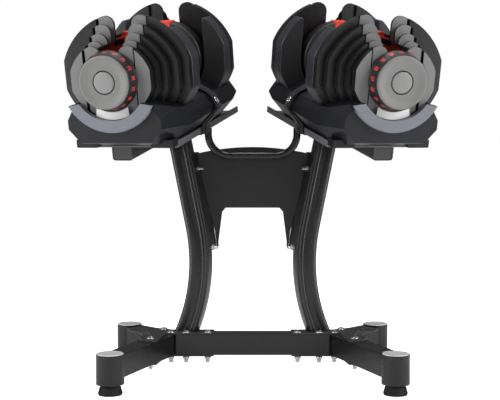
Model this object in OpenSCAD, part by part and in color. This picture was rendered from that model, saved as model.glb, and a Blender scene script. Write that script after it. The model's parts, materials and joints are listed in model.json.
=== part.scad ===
// Pair of dial-select adjustable dumbbells, each in its own tray,
// carried at an angle on one bolted steel floor stand.

/* [Stand] */
// Distance between the left and right foot posts
post_span = 503.2; // [480:1:560]
// Distance between the front and rear foot posts
post_depth = 316.4; // [300:1:340]
// Outer radius of a foot post
post_r = 25; // [24:0.5:28]
// Height of the underside of a foot post above the floor
post_base = 19; // [18.8:0.1:20]
// Height of the post's top edge above the floor
post_top = 72; // [71:0.5:80]
// Width of the square legs that run out to the posts
leg_w = 40; // [34:1:42]
// Underside height of the crossbar and the legs
beam_base = 29; // [28:0.5:30]
// Height of the crossbar and leg tubes
beam_h = 40; // [38:0.5:41]
// Depth of the crossbar, front to back
beam_d = 45; // [42:1:50]
// Distance of the crossbar behind the middle of the four posts
beam_back = 70.5; // [66:0.5:75]
// Wall thickness of the steel tubes
tube_wall = 2.5; // [2:0.1:3]
// Thickness of the gusset plates and of the tray bracket
sheet_t = 3; // [2.5:0.1:3.2]

/* [Uprights] */
// Width of an upright, seen from the front
upright_w = 40; // [38:0.5:42]
// Depth of an upright, front to back
upright_d = 30; // [28:0.5:32]
// Distance of an upright's centre line from the middle, at its narrowest
upright_x = 101.8; // [101:0.1:103]
// Height at which the uprights stand closest together
waist_z = 209.5; // [207:0.5:212]
// Bend radius of an upright's centre line
bend_r = 340; // [335:1:345]
// Angle at which the upper, straight stretch leans out
lean = 12; // [11.8:0.1:12.2]
// Thickness of the back panel
panel_t = 2.5; // [2:0.1:3]
// Diameter of the bent bar between the trays
bar_d = 14; // [12:0.5:15]

/* [Dumbbell] */
// Angle by which the rear ends turn towards the middle
yaw = 18.1; // [18:0.1:18.2]
// Angle by which the rear ends are raised
tilt = 12; // [11.9:0.1:12.1]
// Overall length of a dumbbell
length = 440; // [438:0.5:442]
// Distance of a dumbbell's centre from the middle of the stand
bell_x = 190.3; // [189.5:0.1:192]
// Distance of a dumbbell's centre behind the middle of the posts
bell_y = 21.5; // [20:0.5:23]
// Height of a dumbbell's centre above the floor
bell_z = 591.3; // [590:0.1:593]
// Pitch from one weight plate to the next
pitch = 17; // [16.9:0.05:17.1]
// Thickness of an outer weight plate
plate_t = 15.5; // [15:0.1:15.6]
// Thickness of the innermost weight plate
inner_t = 35.5; // [35:0.1:35.6]
// Radius of the steel core
core_r = 12; // [11.8:0.1:12]
// Radius of the hand grip at its middle
grip_r = 17.5; // [16:0.1:18.5]
// Radius of a dial's face
dial_r = 48; // [46:0.5:48.5]
// Radius of the number ring behind the dial
ring_r = 54; // [52:0.5:54]

/* [Tray] */
// Half width of a tray at its widest
tray_w = 120; // [118:0.5:121]
// Depth of the tray's underside below the dumbbell's axis
tray_base = 130; // [129.8:0.1:130.2]
// Radius of the round saddle at each end of a tray
saddle_r = 70; // [68:0.5:71]
// Room between a weight plate and its well
well_gap = 1.5; // [1.2:0.1:2]

/* [Hidden] */
$fn = 64;

// The stand's middle sits this far in front of the origin, which is the
// centre of the whole object's footprint.
stand_y = -38.3;
cut = 0.5;
fit_gap = 0.06;
beam_top = beam_base + beam_h;
deck_z = beam_top + sheet_t;
post_x = post_span / 2;
post_y = post_depth / 2;

// ---- Placing ---------------------------------------------------------------

// Puts a shape drawn around the middle of the posts into the object's frame.
module on_stand() translate([0, stand_y, 0]) children();

// Draws a left-hand shape and its mirror image on the right.
module both_sides() {
    children();
    mirror([1, 0, 0]) children();
}

// Stands a shape, drawn about a dumbbell's centre with +Y along its axis,
// at the left dumbbell's place.
module at_left_bell() {
    on_stand() translate([-bell_x, bell_y, bell_z]) rotate([0, 0, -yaw]) rotate([tilt, 0, 0])
        children();
}

module at_right_bell() mirror([1, 0, 0]) at_left_bell() children();

// Draws a shape at the front end of a dumbbell and mirrored at its rear end.
module both_ends() {
    children();
    mirror([0, 1, 0]) children();
}

// Extrudes an outline drawn in X and Z from y0 over the depth d along +Y.
module along(y0, d) translate([0, y0 + d, 0]) rotate([90, 0, 0]) linear_extrude(d) children();

// A round bar of radius r along +Y, from y0 over the depth d.
module rod(y0, d, r) translate([0, y0, 0]) rotate([-90, 0, 0]) cylinder(h = d, r = r);

// A shape of revolution about the Y axis from [radius, y] points.
module turned(points) rotate([-90, 0, 0]) rotate_extrude() polygon(points);

// ---- Base ------------------------------------------------------------------

joint_x = 165;
bar_end = 150;

module bar_outline() {
    translate([-bar_end, beam_back - beam_d / 2]) square([2 * bar_end, beam_d]);
}

// A strip of width w from one point to another, seen from above.
module strip(from, to, w, extra = 0) {
    run = to - from;
    translate(from) rotate(atan2(run.y, run.x)) translate([0, -w / 2]) square([norm(run) + extra, w]);
}

// Half of the plane in front of (side = 1) or behind (side = -1) the crossbar.
module half_plane(side) {
    translate([-400, side > 0 ? beam_back - 400.1 : beam_back + 0.1]) square([400, 400]);
}

// One leg: a square tube from the crossbar's end to its foot post.
// side is 1 for the front leg and -1 for the rear one.
module leg(side) {
    post = [-post_x, -side * post_y];
    knee = [-joint_x, beam_back];
    head = (knee - post) / norm(knee - post);
    difference() {
        union() {
            difference() {
                translate([0, 0, beam_base]) linear_extrude(beam_h) difference() {
                    intersection() {
                        strip(post, knee, leg_w, 40);
                        half_plane(side);
                        translate([-400, -400]) square([400 - bar_end - 0.1, 800]);
                    }
                    translate(post) circle(post_r - 1);
                }
                translate([0, 0, beam_base + tube_wall]) linear_extrude(beam_h - 2 * tube_wall)
                    strip(post + head * (post_r + 4), knee, leg_w - 2 * tube_wall, 60);
            }
            translate([post.x, post.y, post_base]) cylinder(h = post_top - post_base, r = post_r);
        }
        translate([post.x, post.y, beam_base]) cylinder(h = post_top, r = post_r - tube_wall);
        translate([post.x, post.y, 0]) cylinder(h = post_top, r = stud_r + fit_gap);
        bolt_holes();
    }
}

module crossbar() color([0.16, 0.16, 0.17]) on_stand() difference() {
    translate([0, 0, beam_base]) linear_extrude(beam_h) bar_outline();
    translate([-bar_end - cut, beam_back - beam_d / 2 + tube_wall, beam_base + tube_wall])
        cube([2 * (bar_end + cut), beam_d - 2 * tube_wall, beam_h - 2 * tube_wall]);
    both_sides() bolt_holes();
}

module front_left_leg() color([0.16, 0.16, 0.17]) on_stand() leg(1);
module rear_left_leg() color([0.16, 0.16, 0.17]) on_stand() leg(-1);
module front_right_leg() color([0.16, 0.16, 0.17]) on_stand() mirror([1, 0, 0]) leg(1);
module rear_right_leg() color([0.16, 0.16, 0.17]) on_stand() mirror([1, 0, 0]) leg(-1);

cap_lip = 1.4;

module post_caps() color([0.93, 0.93, 0.93]) on_stand() both_sides()
    for (side = [-1, 1]) translate([-post_x, side * post_y, 0]) {
        translate([0, 0, post_top - 5]) cylinder(h = 5, r = post_r - tube_wall - 0.05);
        translate([0, 0, post_top]) cylinder(h = cap_lip, r = post_r - 1.2);
    }

stud_r = 5;
foot_h = 17;

// A levelling foot: a rubber cone on a threaded stud, with its lock nut.
module foot(side) translate([-post_x, side * post_y, 0]) {
    cylinder(h = foot_h, r1 = 22, r2 = 18);
    translate([0, 0, foot_h]) cylinder(h = post_base - foot_h - 0.3, r = 9);
    cylinder(h = beam_base + 14, r = stud_r);
}

module front_left_foot() color([0.07, 0.07, 0.07]) on_stand() foot(-1);
module rear_left_foot() color([0.07, 0.07, 0.07]) on_stand() foot(1);
module front_right_foot() color([0.07, 0.07, 0.07]) on_stand() mirror([1, 0, 0]) foot(-1);
module rear_right_foot() color([0.07, 0.07, 0.07]) on_stand() mirror([1, 0, 0]) foot(1);

// Centres of the bolts that clamp the two gusset plates of the left side.
frame_bolt_at = [[-194, -7], [-176, 92], [-160, 58], [-130, 56.2], [-88, 58.5]];
frame_bolt_r = 4;

module bolt_holes() for (p = frame_bolt_at) translate([p.x, p.y, 0])
    cylinder(h = post_top + 20, r = frame_bolt_r + fit_gap);

// Outline of a gusset plate: an arm on each leg and one on the crossbar,
// joined by a concave edge towards the outside.
module gusset_outline() difference() {
    polygon([
        [-76, 50], [-170, 50], [-176, -2], [-181, -32], [-207, -27], [-250, 104],
        [-226, 132], [-160, 92], [-76, 92]
    ]);
    translate([-278, 24]) circle(r = 66);
    hull() {
        translate([-203, 36]) circle(r = 7, $fn = 32);
        translate([-223, 92]) circle(r = 9, $fn = 32);
    }
}

module gusset_plates() color([0.2, 0.2, 0.21]) on_stand() both_sides() difference() {
    for (z = [beam_base - sheet_t, beam_top]) translate([0, 0, z]) linear_extrude(sheet_t)
        gusset_outline();
    for (side = [-1, 1]) translate([-post_x, side * post_y, 0]) cylinder(h = 100, r = post_r + 0.4);
    bolt_holes();
}

module frame_bolts() color([0.75, 0.75, 0.76]) on_stand() both_sides()
    for (p = frame_bolt_at) translate([p.x, p.y, 0]) {
        translate([0, 0, deck_z]) intersection() {
            cylinder(h = 4.5, r = 8);
            translate([0, 0, -6.4]) sphere(r = 10.9);
        }
        translate([0, 0, beam_base - sheet_t - 10]) cylinder(h = deck_z - beam_base + 14, r = frame_bolt_r);
    }

module frame_nuts() color([0.75, 0.75, 0.76]) on_stand() both_sides()
    for (p = frame_bolt_at) translate([p.x, p.y, beam_base - sheet_t - 6.5]) difference() {
        cylinder(h = 6.5, r = 7.2, $fn = 6);
        translate([0, 0, -cut]) cylinder(h = 8, r = frame_bolt_r + fit_gap);
    }

// ---- Uprights --------------------------------------------------------------

// Turns the uprights' drawing plane, X out and Z up, to face like the trays.
module upright_plane() on_stand() translate([-upright_x, beam_back + 2, 0]) rotate([0, 0, -yaw])
    children();

upright_top = 500;
straight_from = waist_z + bend_r * sin(lean);

// The stretch between two offsets from an upright's bent centre line.
module bent_band(inner, outer) {
    difference() {
        intersection() {
            translate([-bend_r, waist_z]) difference() {
                circle(r = bend_r + outer, $fn = 180);
                circle(r = bend_r + inner, $fn = 180);
            }
            translate([-bend_r, waist_z]) polygon([
                [0, 0], [2 * bend_r, -2 * bend_r * tan(26)], [2 * bend_r, 2 * bend_r * tan(lean)]
            ]);
        }
        translate([-bend_r, 0]) square([2 * bend_r, deck_z]);
    }
    translate([-bend_r, waist_z]) rotate(lean) translate([bend_r + inner, 0])
        square([outer - inner, upright_top - straight_from]);
}

// Everything above the underside of the left tray bracket.
module above_bracket() at_left_bell() translate([-400, -400, -tray_base - sheet_t])
    cube([800, 800, 400]);

head_t = 4;

module upright() difference() {
    upright_plane() difference() {
        along(-upright_d / 2, upright_d) bent_band(-upright_w / 2, upright_w / 2);
        intersection() {
            along(-upright_d / 2 + tube_wall, upright_d - 2 * tube_wall)
                bent_band(-upright_w / 2 + tube_wall, upright_w / 2 - tube_wall);
            translate([-400, -50, deck_z + tube_wall]) cube([800, 100, 800]);
        }
        panel_bolt_holes();
    }
    at_left_bell() translate([-400, -400, -tray_base - sheet_t - head_t])
        cube([800, 800, 400]);
}

// The plate welded on an upright's top, which the tray bracket is bolted to.
module upright_head() at_left_bell() difference() {
    translate([head_x0, head_y0, -tray_base - sheet_t - head_t]) cube([head_w, head_d, head_t]);
    bracket_bolt_holes();
}

head_x0 = -3;
head_y0 = -16;
head_w = 62;
head_d = 100;

module left_upright() color([0.17, 0.17, 0.18]) {
    upright();
    upright_head();
}

module right_upright() color([0.17, 0.17, 0.18]) mirror([1, 0, 0]) {
    upright();
    upright_head();
}

panel_bolt_z = [239, 392];
panel_bolt_r = 3;

// Where the upright's centre line is at height z, measured from its waist.
function bend_at(z) = z < straight_from
    ? sqrt(bend_r * bend_r - pow(z - waist_z, 2)) - bend_r
    : bend_r * (cos(lean) - 1) - (z - straight_from) * tan(lean);

module panel_bolt_holes() for (z = panel_bolt_z) translate([bend_at(z), 0, z])
    rotate([0, 90, 0]) cylinder(h = 80, r = panel_bolt_r + fit_gap, center = true);

flange_gap = 0.1;
flange_low = 236;
panel_top = 424;

// The panel's side flange, which lies along the inner face of an upright.
module panel_flange() upright_plane() difference() {
    intersection() {
        along(-15, 46) bent_band(upright_w / 2 + flange_gap, upright_w / 2 + flange_gap + panel_t);
        translate([-200, -100, flange_low]) cube([400, 200, panel_top - flange_low]);
    }
    panel_bolt_holes();
}

panel_y = 94;

// The panel's outline from the front, with an arched top edge and a
// trapezoid cut out of its lower edge.
module panel_outline() difference() {
    intersection() {
        polygon([
            [-112, panel_top], [-84.6, 302], [-81.2, 298], [-74.5, 268], [-71.2, flange_low],
            [71.2, flange_low], [74.5, 268], [81.2, 298], [84.6, 302], [112, panel_top], [50, 434], [-50, 434]
        ]);
        translate([0, 434 - 480]) circle(r = 480, $fn = 180);
    }
    polygon([
        [-67, flange_low - cut], [-67.5, 246], [-60, 306], [-53, 314], [53, 314], [60, 306], [67.5, 246],
        [67, flange_low - cut]
    ]);
}

module back_panel() color([0.15, 0.15, 0.16]) {
    both_sides() panel_flange();
    on_stand() along(panel_y, panel_t) panel_outline();
}

module panel_bolts() color([0.78, 0.78, 0.79]) both_sides() upright_plane()
    for (z = panel_bolt_z) translate([bend_at(z), 0, z]) rotate([0, 90, 0]) {
        outer = upright_w / 2 / cos(z < straight_from ? asin((z - waist_z) / bend_r) : lean) + 1.2;
        inner = outer + panel_t;
        translate([0, 0, -outer - 1.6]) cylinder(h = 1.7, r = 5.5);
        translate([0, 0, -outer]) cylinder(h = outer + inner + 13, r = panel_bolt_r);
        translate([0, 0, inner]) cylinder(h = 5.5, r = 5.8, $fn = 6);
    }

bar_x = 86;
bar_y = 60;
bar_low = 417;
bar_bend = 42;

module u_bar() color([0.14, 0.14, 0.15]) difference() {
    on_stand() translate([0, bar_y, bar_low]) {
        rotate([0, 90, 0]) cylinder(h = 2 * (bar_x - bar_bend), r = bar_d / 2, center = true);
        both_sides() {
            translate([-bar_x + bar_bend, 0, bar_bend]) rotate([90, 0, 0]) rotate([0, 0, 180])
                rotate_extrude(angle = 90) translate([bar_bend, 0]) circle(d = bar_d);
            translate([-bar_x, 0, bar_bend]) cylinder(h = 60, d = bar_d);
        }
    }
    both_sides() above_bracket();
}

// ---- Tray bracket ----------------------------------------------------------

bracket_w = 90.5;
bracket_y0 = -128;
bracket_y1 = 216;
bracket_wall = 9;
flange_t = 2.5;

module tray_bracket() difference() {
    union() {
        translate([-bracket_w, bracket_y0, -tray_base - sheet_t])
            cube([2 * bracket_w, bracket_y1 - bracket_y0, sheet_t]);
        for (x = [-bracket_w, bracket_w - flange_t]) translate([x, bracket_y0, -tray_base - sheet_t])
            cube([flange_t, bracket_y1 - bracket_y0, sheet_t + bracket_wall]);
    }
    bracket_bolt_holes();
}

module left_tray_bracket() color([0.42, 0.42, 0.44]) at_left_bell() tray_bracket();
module right_tray_bracket() color([0.42, 0.42, 0.44]) at_right_bell() tray_bracket();

arm_x = -26;
arm_w = 40;
arm_h = 28;
arm_y0 = -116;
arm_len = 300;
plug_t = 6;

module support_arm() translate([arm_x - arm_w / 2, arm_y0, -tray_base - sheet_t - arm_h]) difference() {
    cube([arm_w, arm_len, arm_h]);
    translate([tube_wall, plug_t, tube_wall])
        cube([arm_w - 2 * tube_wall, arm_len - 2 * plug_t, arm_h - 2 * tube_wall]);
}

module support_arms() color([0.3, 0.3, 0.31]) {
    at_left_bell() support_arm();
    at_right_bell() support_arm();
}

bracket_bolt_at = [[50, -6], [50, 74], [8, 74]];
bracket_bolt_r = 3;

module bracket_bolt_holes() for (p = bracket_bolt_at) translate([p.x, p.y, -tray_base - 20])
    cylinder(h = 40, r = bracket_bolt_r + fit_gap);

// A screw with a low round head on the bracket and a nut below the head plate.
module bracket_bolt() {
    low = -tray_base - sheet_t - head_t;
    translate([0, 0, -tray_base]) cylinder(h = 1.8, r = 5.5);
    translate([0, 0, low - 8]) cylinder(h = 8 + head_t + sheet_t, r = bracket_bolt_r);
    translate([0, 0, low - 5]) cylinder(h = 5, r = 5.8, $fn = 6);
}

module bracket_bolts() color([0.78, 0.78, 0.79]) {
    at_left_bell() for (p = bracket_bolt_at) translate([p.x, p.y, 0]) bracket_bolt();
    at_right_bell() for (p = bracket_bolt_at) translate([p.x, p.y, 0]) bracket_bolt();
}

// ---- Weight plates ---------------------------------------------------------

// Half widths of the six plates, from the dial inwards.
plate_w = [75.5, 82, 93, 107.5, 121.5, 121.5];
first_y = -length / 2 + 30;

function plate_y(i) = first_y + i * pitch;

function plate_thick(i) = i == 5 ? inner_t : plate_t;

// A plate's outline: two crossing arcs, cut straight at both sides.
module lens(w, grow = 0) {
    r = w * 1.07;
    drop = w * 0.165;
    intersection() {
        translate([0, -drop]) circle(r = r + grow, $fn = 120);
        translate([0, drop]) circle(r = r + grow, $fn = 120);
        square([2 * (w + grow), 4 * w], center = true);
    }
}

notch_r = 17;
pocket_r = 44;
window_r = 61;
guard_slot = 79;

// A slot with a round bottom about the dumbbell's axis, open at the top.
module slot(r) {
    circle(r = r);
    translate([-r, 0]) square([2 * r, 200]);
}

// One plate at the front end; i counts from 0 at the dial.
module front_plate(i) {
    back = plate_y(i) + plate_thick(i);
    difference() {
        along(plate_y(i), plate_thick(i)) difference() {
            lens(plate_w[i]);
            slot(i == 5 ? guard_slot : notch_r);
            if (i > 0 && i < 5) circle(r = window_r);
        }
        if (i < 5) along(back - 6, 7) slot(pocket_r);
    }
}

module plate_pair(i) color([0.3, 0.3, 0.31]) both_ends() front_plate(i);

// ---- Handle and selectors --------------------------------------------------

guard_y = 98;
guard_r = 72;
tab_w = 27.2;
inner_face = 69;

// The steel core with a round guard at each end of the grip.
module core() color([0.1, 0.1, 0.1]) {
    difference() {
        union() {
            rod(-length / 2 + 7, length - 14, core_r);
            both_ends() {
                rod(-guard_y, guard_y - inner_face, guard_r);
            }
        }
        both_ends() along(-guard_y - cut, guard_y - inner_face + 2 * cut)
            translate([-tab_w / 2 - 0.3, guard_r - 16]) square([tab_w + 0.6, 40]);
    }
}

index_r = 66;
tab_h = 17;

// The red index disc before each guard and the red tab in the guard's top.
module index_pieces() color([0.95, 0.25, 0.15]) both_ends() {
    difference() {
        rod(-guard_y - 6, 6, index_r);
        rod(-guard_y - 7, 8, hub_r + 0.5);
    }
    along(-guard_y, guard_y - inner_face) translate([-tab_w / 2, guard_r - 16]) square([tab_w, tab_h]);
}

module grip() color([0.08, 0.08, 0.08]) difference() {
    turned([
        [0, -inner_face], [20, -inner_face], [20, -inner_face + 4], [grip_r - 1.5, -inner_face + 10],
        [grip_r, 0], [grip_r - 1.5, inner_face - 10], [20, inner_face - 4], [20, inner_face],
        [0, inner_face]
    ]);
    rod(-inner_face - 1, 2 * inner_face + 2, core_r + 0.02);
}

cap_r = 21;
dial_y = -length / 2;

module end_caps() color([0.6, 0.6, 0.6]) both_ends() rod(dial_y + 0.5, 6.5, cap_r);

// The dial's grey face: slightly dished, with a round well for the end cap.
module dial() color([0.55, 0.55, 0.55]) turned([
    [core_r + fit_gap, dial_y + 7.3], [cap_r + 0.3, dial_y + 7.3], [cap_r + 0.3, dial_y + 1.2],
    [34, dial_y + 1.6], [40, dial_y], [dial_r - 1.5, dial_y], [dial_r, dial_y + 1.5],
    [dial_r + 1.5, dial_y + 10], [30, dial_y + 10], [30, dial_y + 20], [core_r + fit_gap, dial_y + 20]
]);

module number_ring() color([0.05, 0.05, 0.05]) turned([
    [30.02, dial_y + 10.02], [dial_r + 2, dial_y + 10.02], [ring_r, dial_y + 27.5],
    [ring_r - 4, dial_y + 28.5], [30.02, dial_y + 28.5]
]);

hub_r = 15;
selector_r = 42;

// A selector tube with one cam disc in the pocket of each outer plate.
module selector() color([0.12, 0.12, 0.12]) difference() {
    union() {
        rod(dial_y + 20.05, 0.5 * length - guard_y - 20.5, hub_r);
        for (i = [0:4]) rod(plate_y(i) + plate_t - 5, 4, selector_r);
    }
    rod(dial_y, 140, core_r + fit_gap);
}

// ---- Tray ------------------------------------------------------------------

body_half = 193;
saddle_t = 12;
pad_h = 15;
chin_z = 111;
chin_slope = 16;

// Cross-section of the tray's body.
module body_outline() polygon([
    [-84, -tray_base], [84, -tray_base], [86, -119], [tray_w, -86], [tray_w - 2, -80], [104, -58],
    [60, -36], [-60, -36], [-104, -58], [2 - tray_w, -80], [-tray_w, -86], [-86, -119]
]);

// The body from above: narrow at the saddles and widening to the rear.
module body_plan() polygon([
    [-89, -body_half], [89, -body_half], [100, -152], [111, -112], [tray_w, 60], [tray_w, 176],
    [104, body_half], [-104, body_half], [-tray_w, 176], [-tray_w, 60], [-111, -112], [-100, -152]
]);

// The saddle: a crescent round the dial with a shoulder at each side.
module saddle_outline() difference() {
    polygon([
        [-58, -38], [-86, -62], [-89, -80], [-68, -102], [-20, -108], [20, -108], [68, -102],
        [89, -80], [86, -62], [58, -38]
    ]);
    circle(r = saddle_r);
}

// The space of the plates at the front end, with room around them.
module wells() for (i = [0:5]) {
    far = i == 5 ? inner_face : -plate_y(i + 1) + 1;
    near = plate_y(i) - (i == 0 ? 4 : 1);
    along(near, -far - near) lens(plate_w[i], well_gap);
}

module tray() difference() {
    union() {
        difference() {
            intersection() {
                along(-body_half, 2 * body_half) body_outline();
                translate([0, 0, -200]) linear_extrude(200) body_plan();
            }
            both_ends() {
                wells();
                translate([-200, -body_half, -chin_z]) rotate([-chin_slope, 0, 0])
                    translate([0, -40, -90]) cube([400, 200, 90]);
                both_sides() translate([-88, -body_half, -88]) rotate([0, 130, 199.3])
                    translate([-150, -150, 0]) cube([300, 300, 100]);
            }
            translate([-52, -inner_face - 1, -76]) cube([104, 2 * inner_face + 2, 80]);
        }
        both_ends() {
            along(-body_half - saddle_t, saddle_t) saddle_outline();
            along(-body_half, 1.4) difference() {
                translate([-38, -80]) square([76, 26]);
                circle(r = ring_r + 1);
            }
        }
        for (x = [-94, 52]) translate([x, -body_half + 34, 2 - tray_base]) cube([42, 25, pad_h]);
    }
    for (p = bracket_bolt_at) translate([p.x, p.y, -tray_base - cut]) cylinder(h = 3.5, r = 7);
}

module left_tray() color([0.27, 0.28, 0.31]) at_left_bell() tray();
module right_tray() color([0.27, 0.28, 0.31]) at_right_bell() tray();

// The blank white strip below each dial.
module label() both_ends() along(-body_half - 0.8, 0.8) difference() {
    intersection() {
        translate([-33, -68]) square([66, 14]);
        circle(r = saddle_r - 0.3);
    }
    circle(r = ring_r + 1.5);
}

module tray_labels() color([0.95, 0.95, 0.95]) {
    at_left_bell() label();
    at_right_bell() label();
}

strap_y = 0;
strap_w = 28;

// A webbing strap at each side that ties the tray to the bracket's edge.
module strap() both_sides() along(strap_y, strap_w) polygon([
    [62, -33.4], [105, -55.4], [120.6, -79.6], [122.4, -84.8], [122.4, -86.8], [93.5, -116], [93.5, -136],
    [72, -136], [72, -134], [91.5, -134], [91.5, -115.2], [120.6, -86.2], [118.6, -79.9], [104.2, -57.5],
    [62, -35.4]
]);

module left_strap() color([0.06, 0.06, 0.06]) at_left_bell() strap();
module right_strap() color([0.06, 0.06, 0.06]) at_right_bell() strap();

// Metal eyelets on the straps, on the slanted face of the tray's side.
module eyelet() translate([113.1, strap_y + strap_w / 2, -67.75]) rotate([0, 57.2, 0]) difference() {
    cylinder(h = 1.6, r = 6.5);
    translate([0, 0, -cut]) cylinder(h = 3, r = 3.6);
}

module strap_eyelets() color([0.7, 0.7, 0.7]) {
    at_left_bell() both_sides() eyelet();
    at_right_bell() both_sides() eyelet();
}

// ---- Left dumbbell ---------------------------------------------------------

module left_grip() at_left_bell() grip();
module left_core() at_left_bell() core();
module left_index() at_left_bell() index_pieces();
module left_end_caps() at_left_bell() end_caps();
module left_front_dial() at_left_bell() dial();
module left_rear_dial() at_left_bell() mirror([0, 1, 0]) dial();
module left_front_ring() at_left_bell() number_ring();
module left_rear_ring() at_left_bell() mirror([0, 1, 0]) number_ring();
module left_front_selector() at_left_bell() selector();
module left_rear_selector() at_left_bell() mirror([0, 1, 0]) selector();

// ---- Right dumbbell --------------------------------------------------------

module right_grip() at_right_bell() grip();
module right_core() at_right_bell() core();
module right_index() at_right_bell() index_pieces();
module right_end_caps() at_right_bell() end_caps();
module right_front_dial() at_right_bell() dial();
module right_rear_dial() at_right_bell() mirror([0, 1, 0]) dial();
module right_front_ring() at_right_bell() number_ring();
module right_rear_ring() at_right_bell() mirror([0, 1, 0]) number_ring();
module right_front_selector() at_right_bell() selector();
module right_rear_selector() at_right_bell() mirror([0, 1, 0]) selector();

// ---- Nodes -----------------------------------------------------------------

crossbar();
front_left_leg();
rear_left_leg();
front_right_leg();
rear_right_leg();
post_caps();
front_left_foot();
rear_left_foot();
front_right_foot();
rear_right_foot();
gusset_plates();
frame_bolts();
frame_nuts();
left_upright();
right_upright();
back_panel();
panel_bolts();
u_bar();
left_tray_bracket();
right_tray_bracket();
support_arms();
bracket_bolts();
tray_labels();
strap_eyelets();
left_tray();
left_strap();
left_grip();
left_core();
left_index();
left_end_caps();
left_front_dial();
left_rear_dial();
left_front_ring();
left_rear_ring();
left_front_selector();
left_rear_selector();
for (i = [0:5]) at_left_bell() plate_pair(i);
right_tray();
right_strap();
right_grip();
right_core();
right_index();
right_end_caps();
right_front_dial();
right_rear_dial();
right_front_ring();
right_rear_ring();
right_front_selector();
right_rear_selector();
for (i = [0:5]) at_right_bell() plate_pair(i);
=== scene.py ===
"""Looks of a pair of dial-select dumbbells on their bolted floor stand.

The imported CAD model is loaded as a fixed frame.  Each class below is one
sub-assembly: it holds its sizes, models its pieces with Blender's mesh tools,
dresses them in procedural finishes and hands each piece to the body that it
moves with.  A dumbbell's own pieces are modelled about the dumbbell's middle,
with +Y along its axis and +Z away from its tray, and then set in its seat.
"""
import json
import logging
import math
from dataclasses import dataclass
from enum import Enum
from typing import Callable, Sequence, Union

import bmesh
import bpy
from mathutils import Matrix, Vector


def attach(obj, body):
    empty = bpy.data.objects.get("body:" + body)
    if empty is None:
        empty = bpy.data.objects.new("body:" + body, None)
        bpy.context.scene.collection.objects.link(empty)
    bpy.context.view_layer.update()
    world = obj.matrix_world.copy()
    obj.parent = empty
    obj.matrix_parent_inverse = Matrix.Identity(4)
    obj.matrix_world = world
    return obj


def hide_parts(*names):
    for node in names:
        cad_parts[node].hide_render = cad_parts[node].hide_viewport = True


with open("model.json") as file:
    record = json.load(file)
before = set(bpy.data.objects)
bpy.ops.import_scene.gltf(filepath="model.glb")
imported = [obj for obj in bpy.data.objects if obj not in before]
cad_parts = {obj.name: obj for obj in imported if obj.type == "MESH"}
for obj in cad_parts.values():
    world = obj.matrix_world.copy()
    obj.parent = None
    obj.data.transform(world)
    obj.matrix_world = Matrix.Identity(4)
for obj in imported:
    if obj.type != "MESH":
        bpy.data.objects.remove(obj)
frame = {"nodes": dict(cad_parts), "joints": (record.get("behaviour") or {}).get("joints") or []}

logging.basicConfig(level=logging.INFO, format="%(name)s: %(message)s")
log = logging.getLogger("dumbbells")

MM = 0.001
STAND = "stand"

Point = Sequence[float]
Colour = tuple[float, float, float]
FaceTest = Callable[[Vector, Vector], bool]


def mm(*values: float) -> Vector:
    """A vector given in millimetres, in metres."""
    return Vector(values) * MM


# ---- Shader maths ------------------------------------------------------------


class Field:
    """A number that varies over a surface: its operators add Math nodes."""

    def __init__(self, graph: "Graph", socket: bpy.types.NodeSocket) -> None:
        """Wraps one output socket of a graph."""
        self.graph = graph
        self.socket = socket

    def maths(self, operation: str, *others: "Term") -> "Field":
        """Adds a Math node whose first input is this field.

        Args:
            operation: The Math node's operation.
            others: Its further inputs.

        Returns:
            The node's result.
        """
        inputs = dict(enumerate((self, *others)))
        return self.graph.field("ShaderNodeMath", {"operation": operation}, inputs)

    def __add__(self, other: "Term") -> "Field":
        """This field plus another."""
        return self.maths("ADD", other)

    def __radd__(self, other: float) -> "Field":
        """A number plus this field."""
        return self + other

    def __mul__(self, other: "Term") -> "Field":
        """This field times another."""
        return self.maths("MULTIPLY", other)

    def __rmul__(self, other: float) -> "Field":
        """A number times this field."""
        return self * other

    def wave(self, period: float) -> "Field":
        """A sine of this field with the given period, from 0 to 1."""
        return (self * (2 * math.pi / period)).maths("SINE") * 0.5 + 0.5


Term = Union[Field, float]


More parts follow.
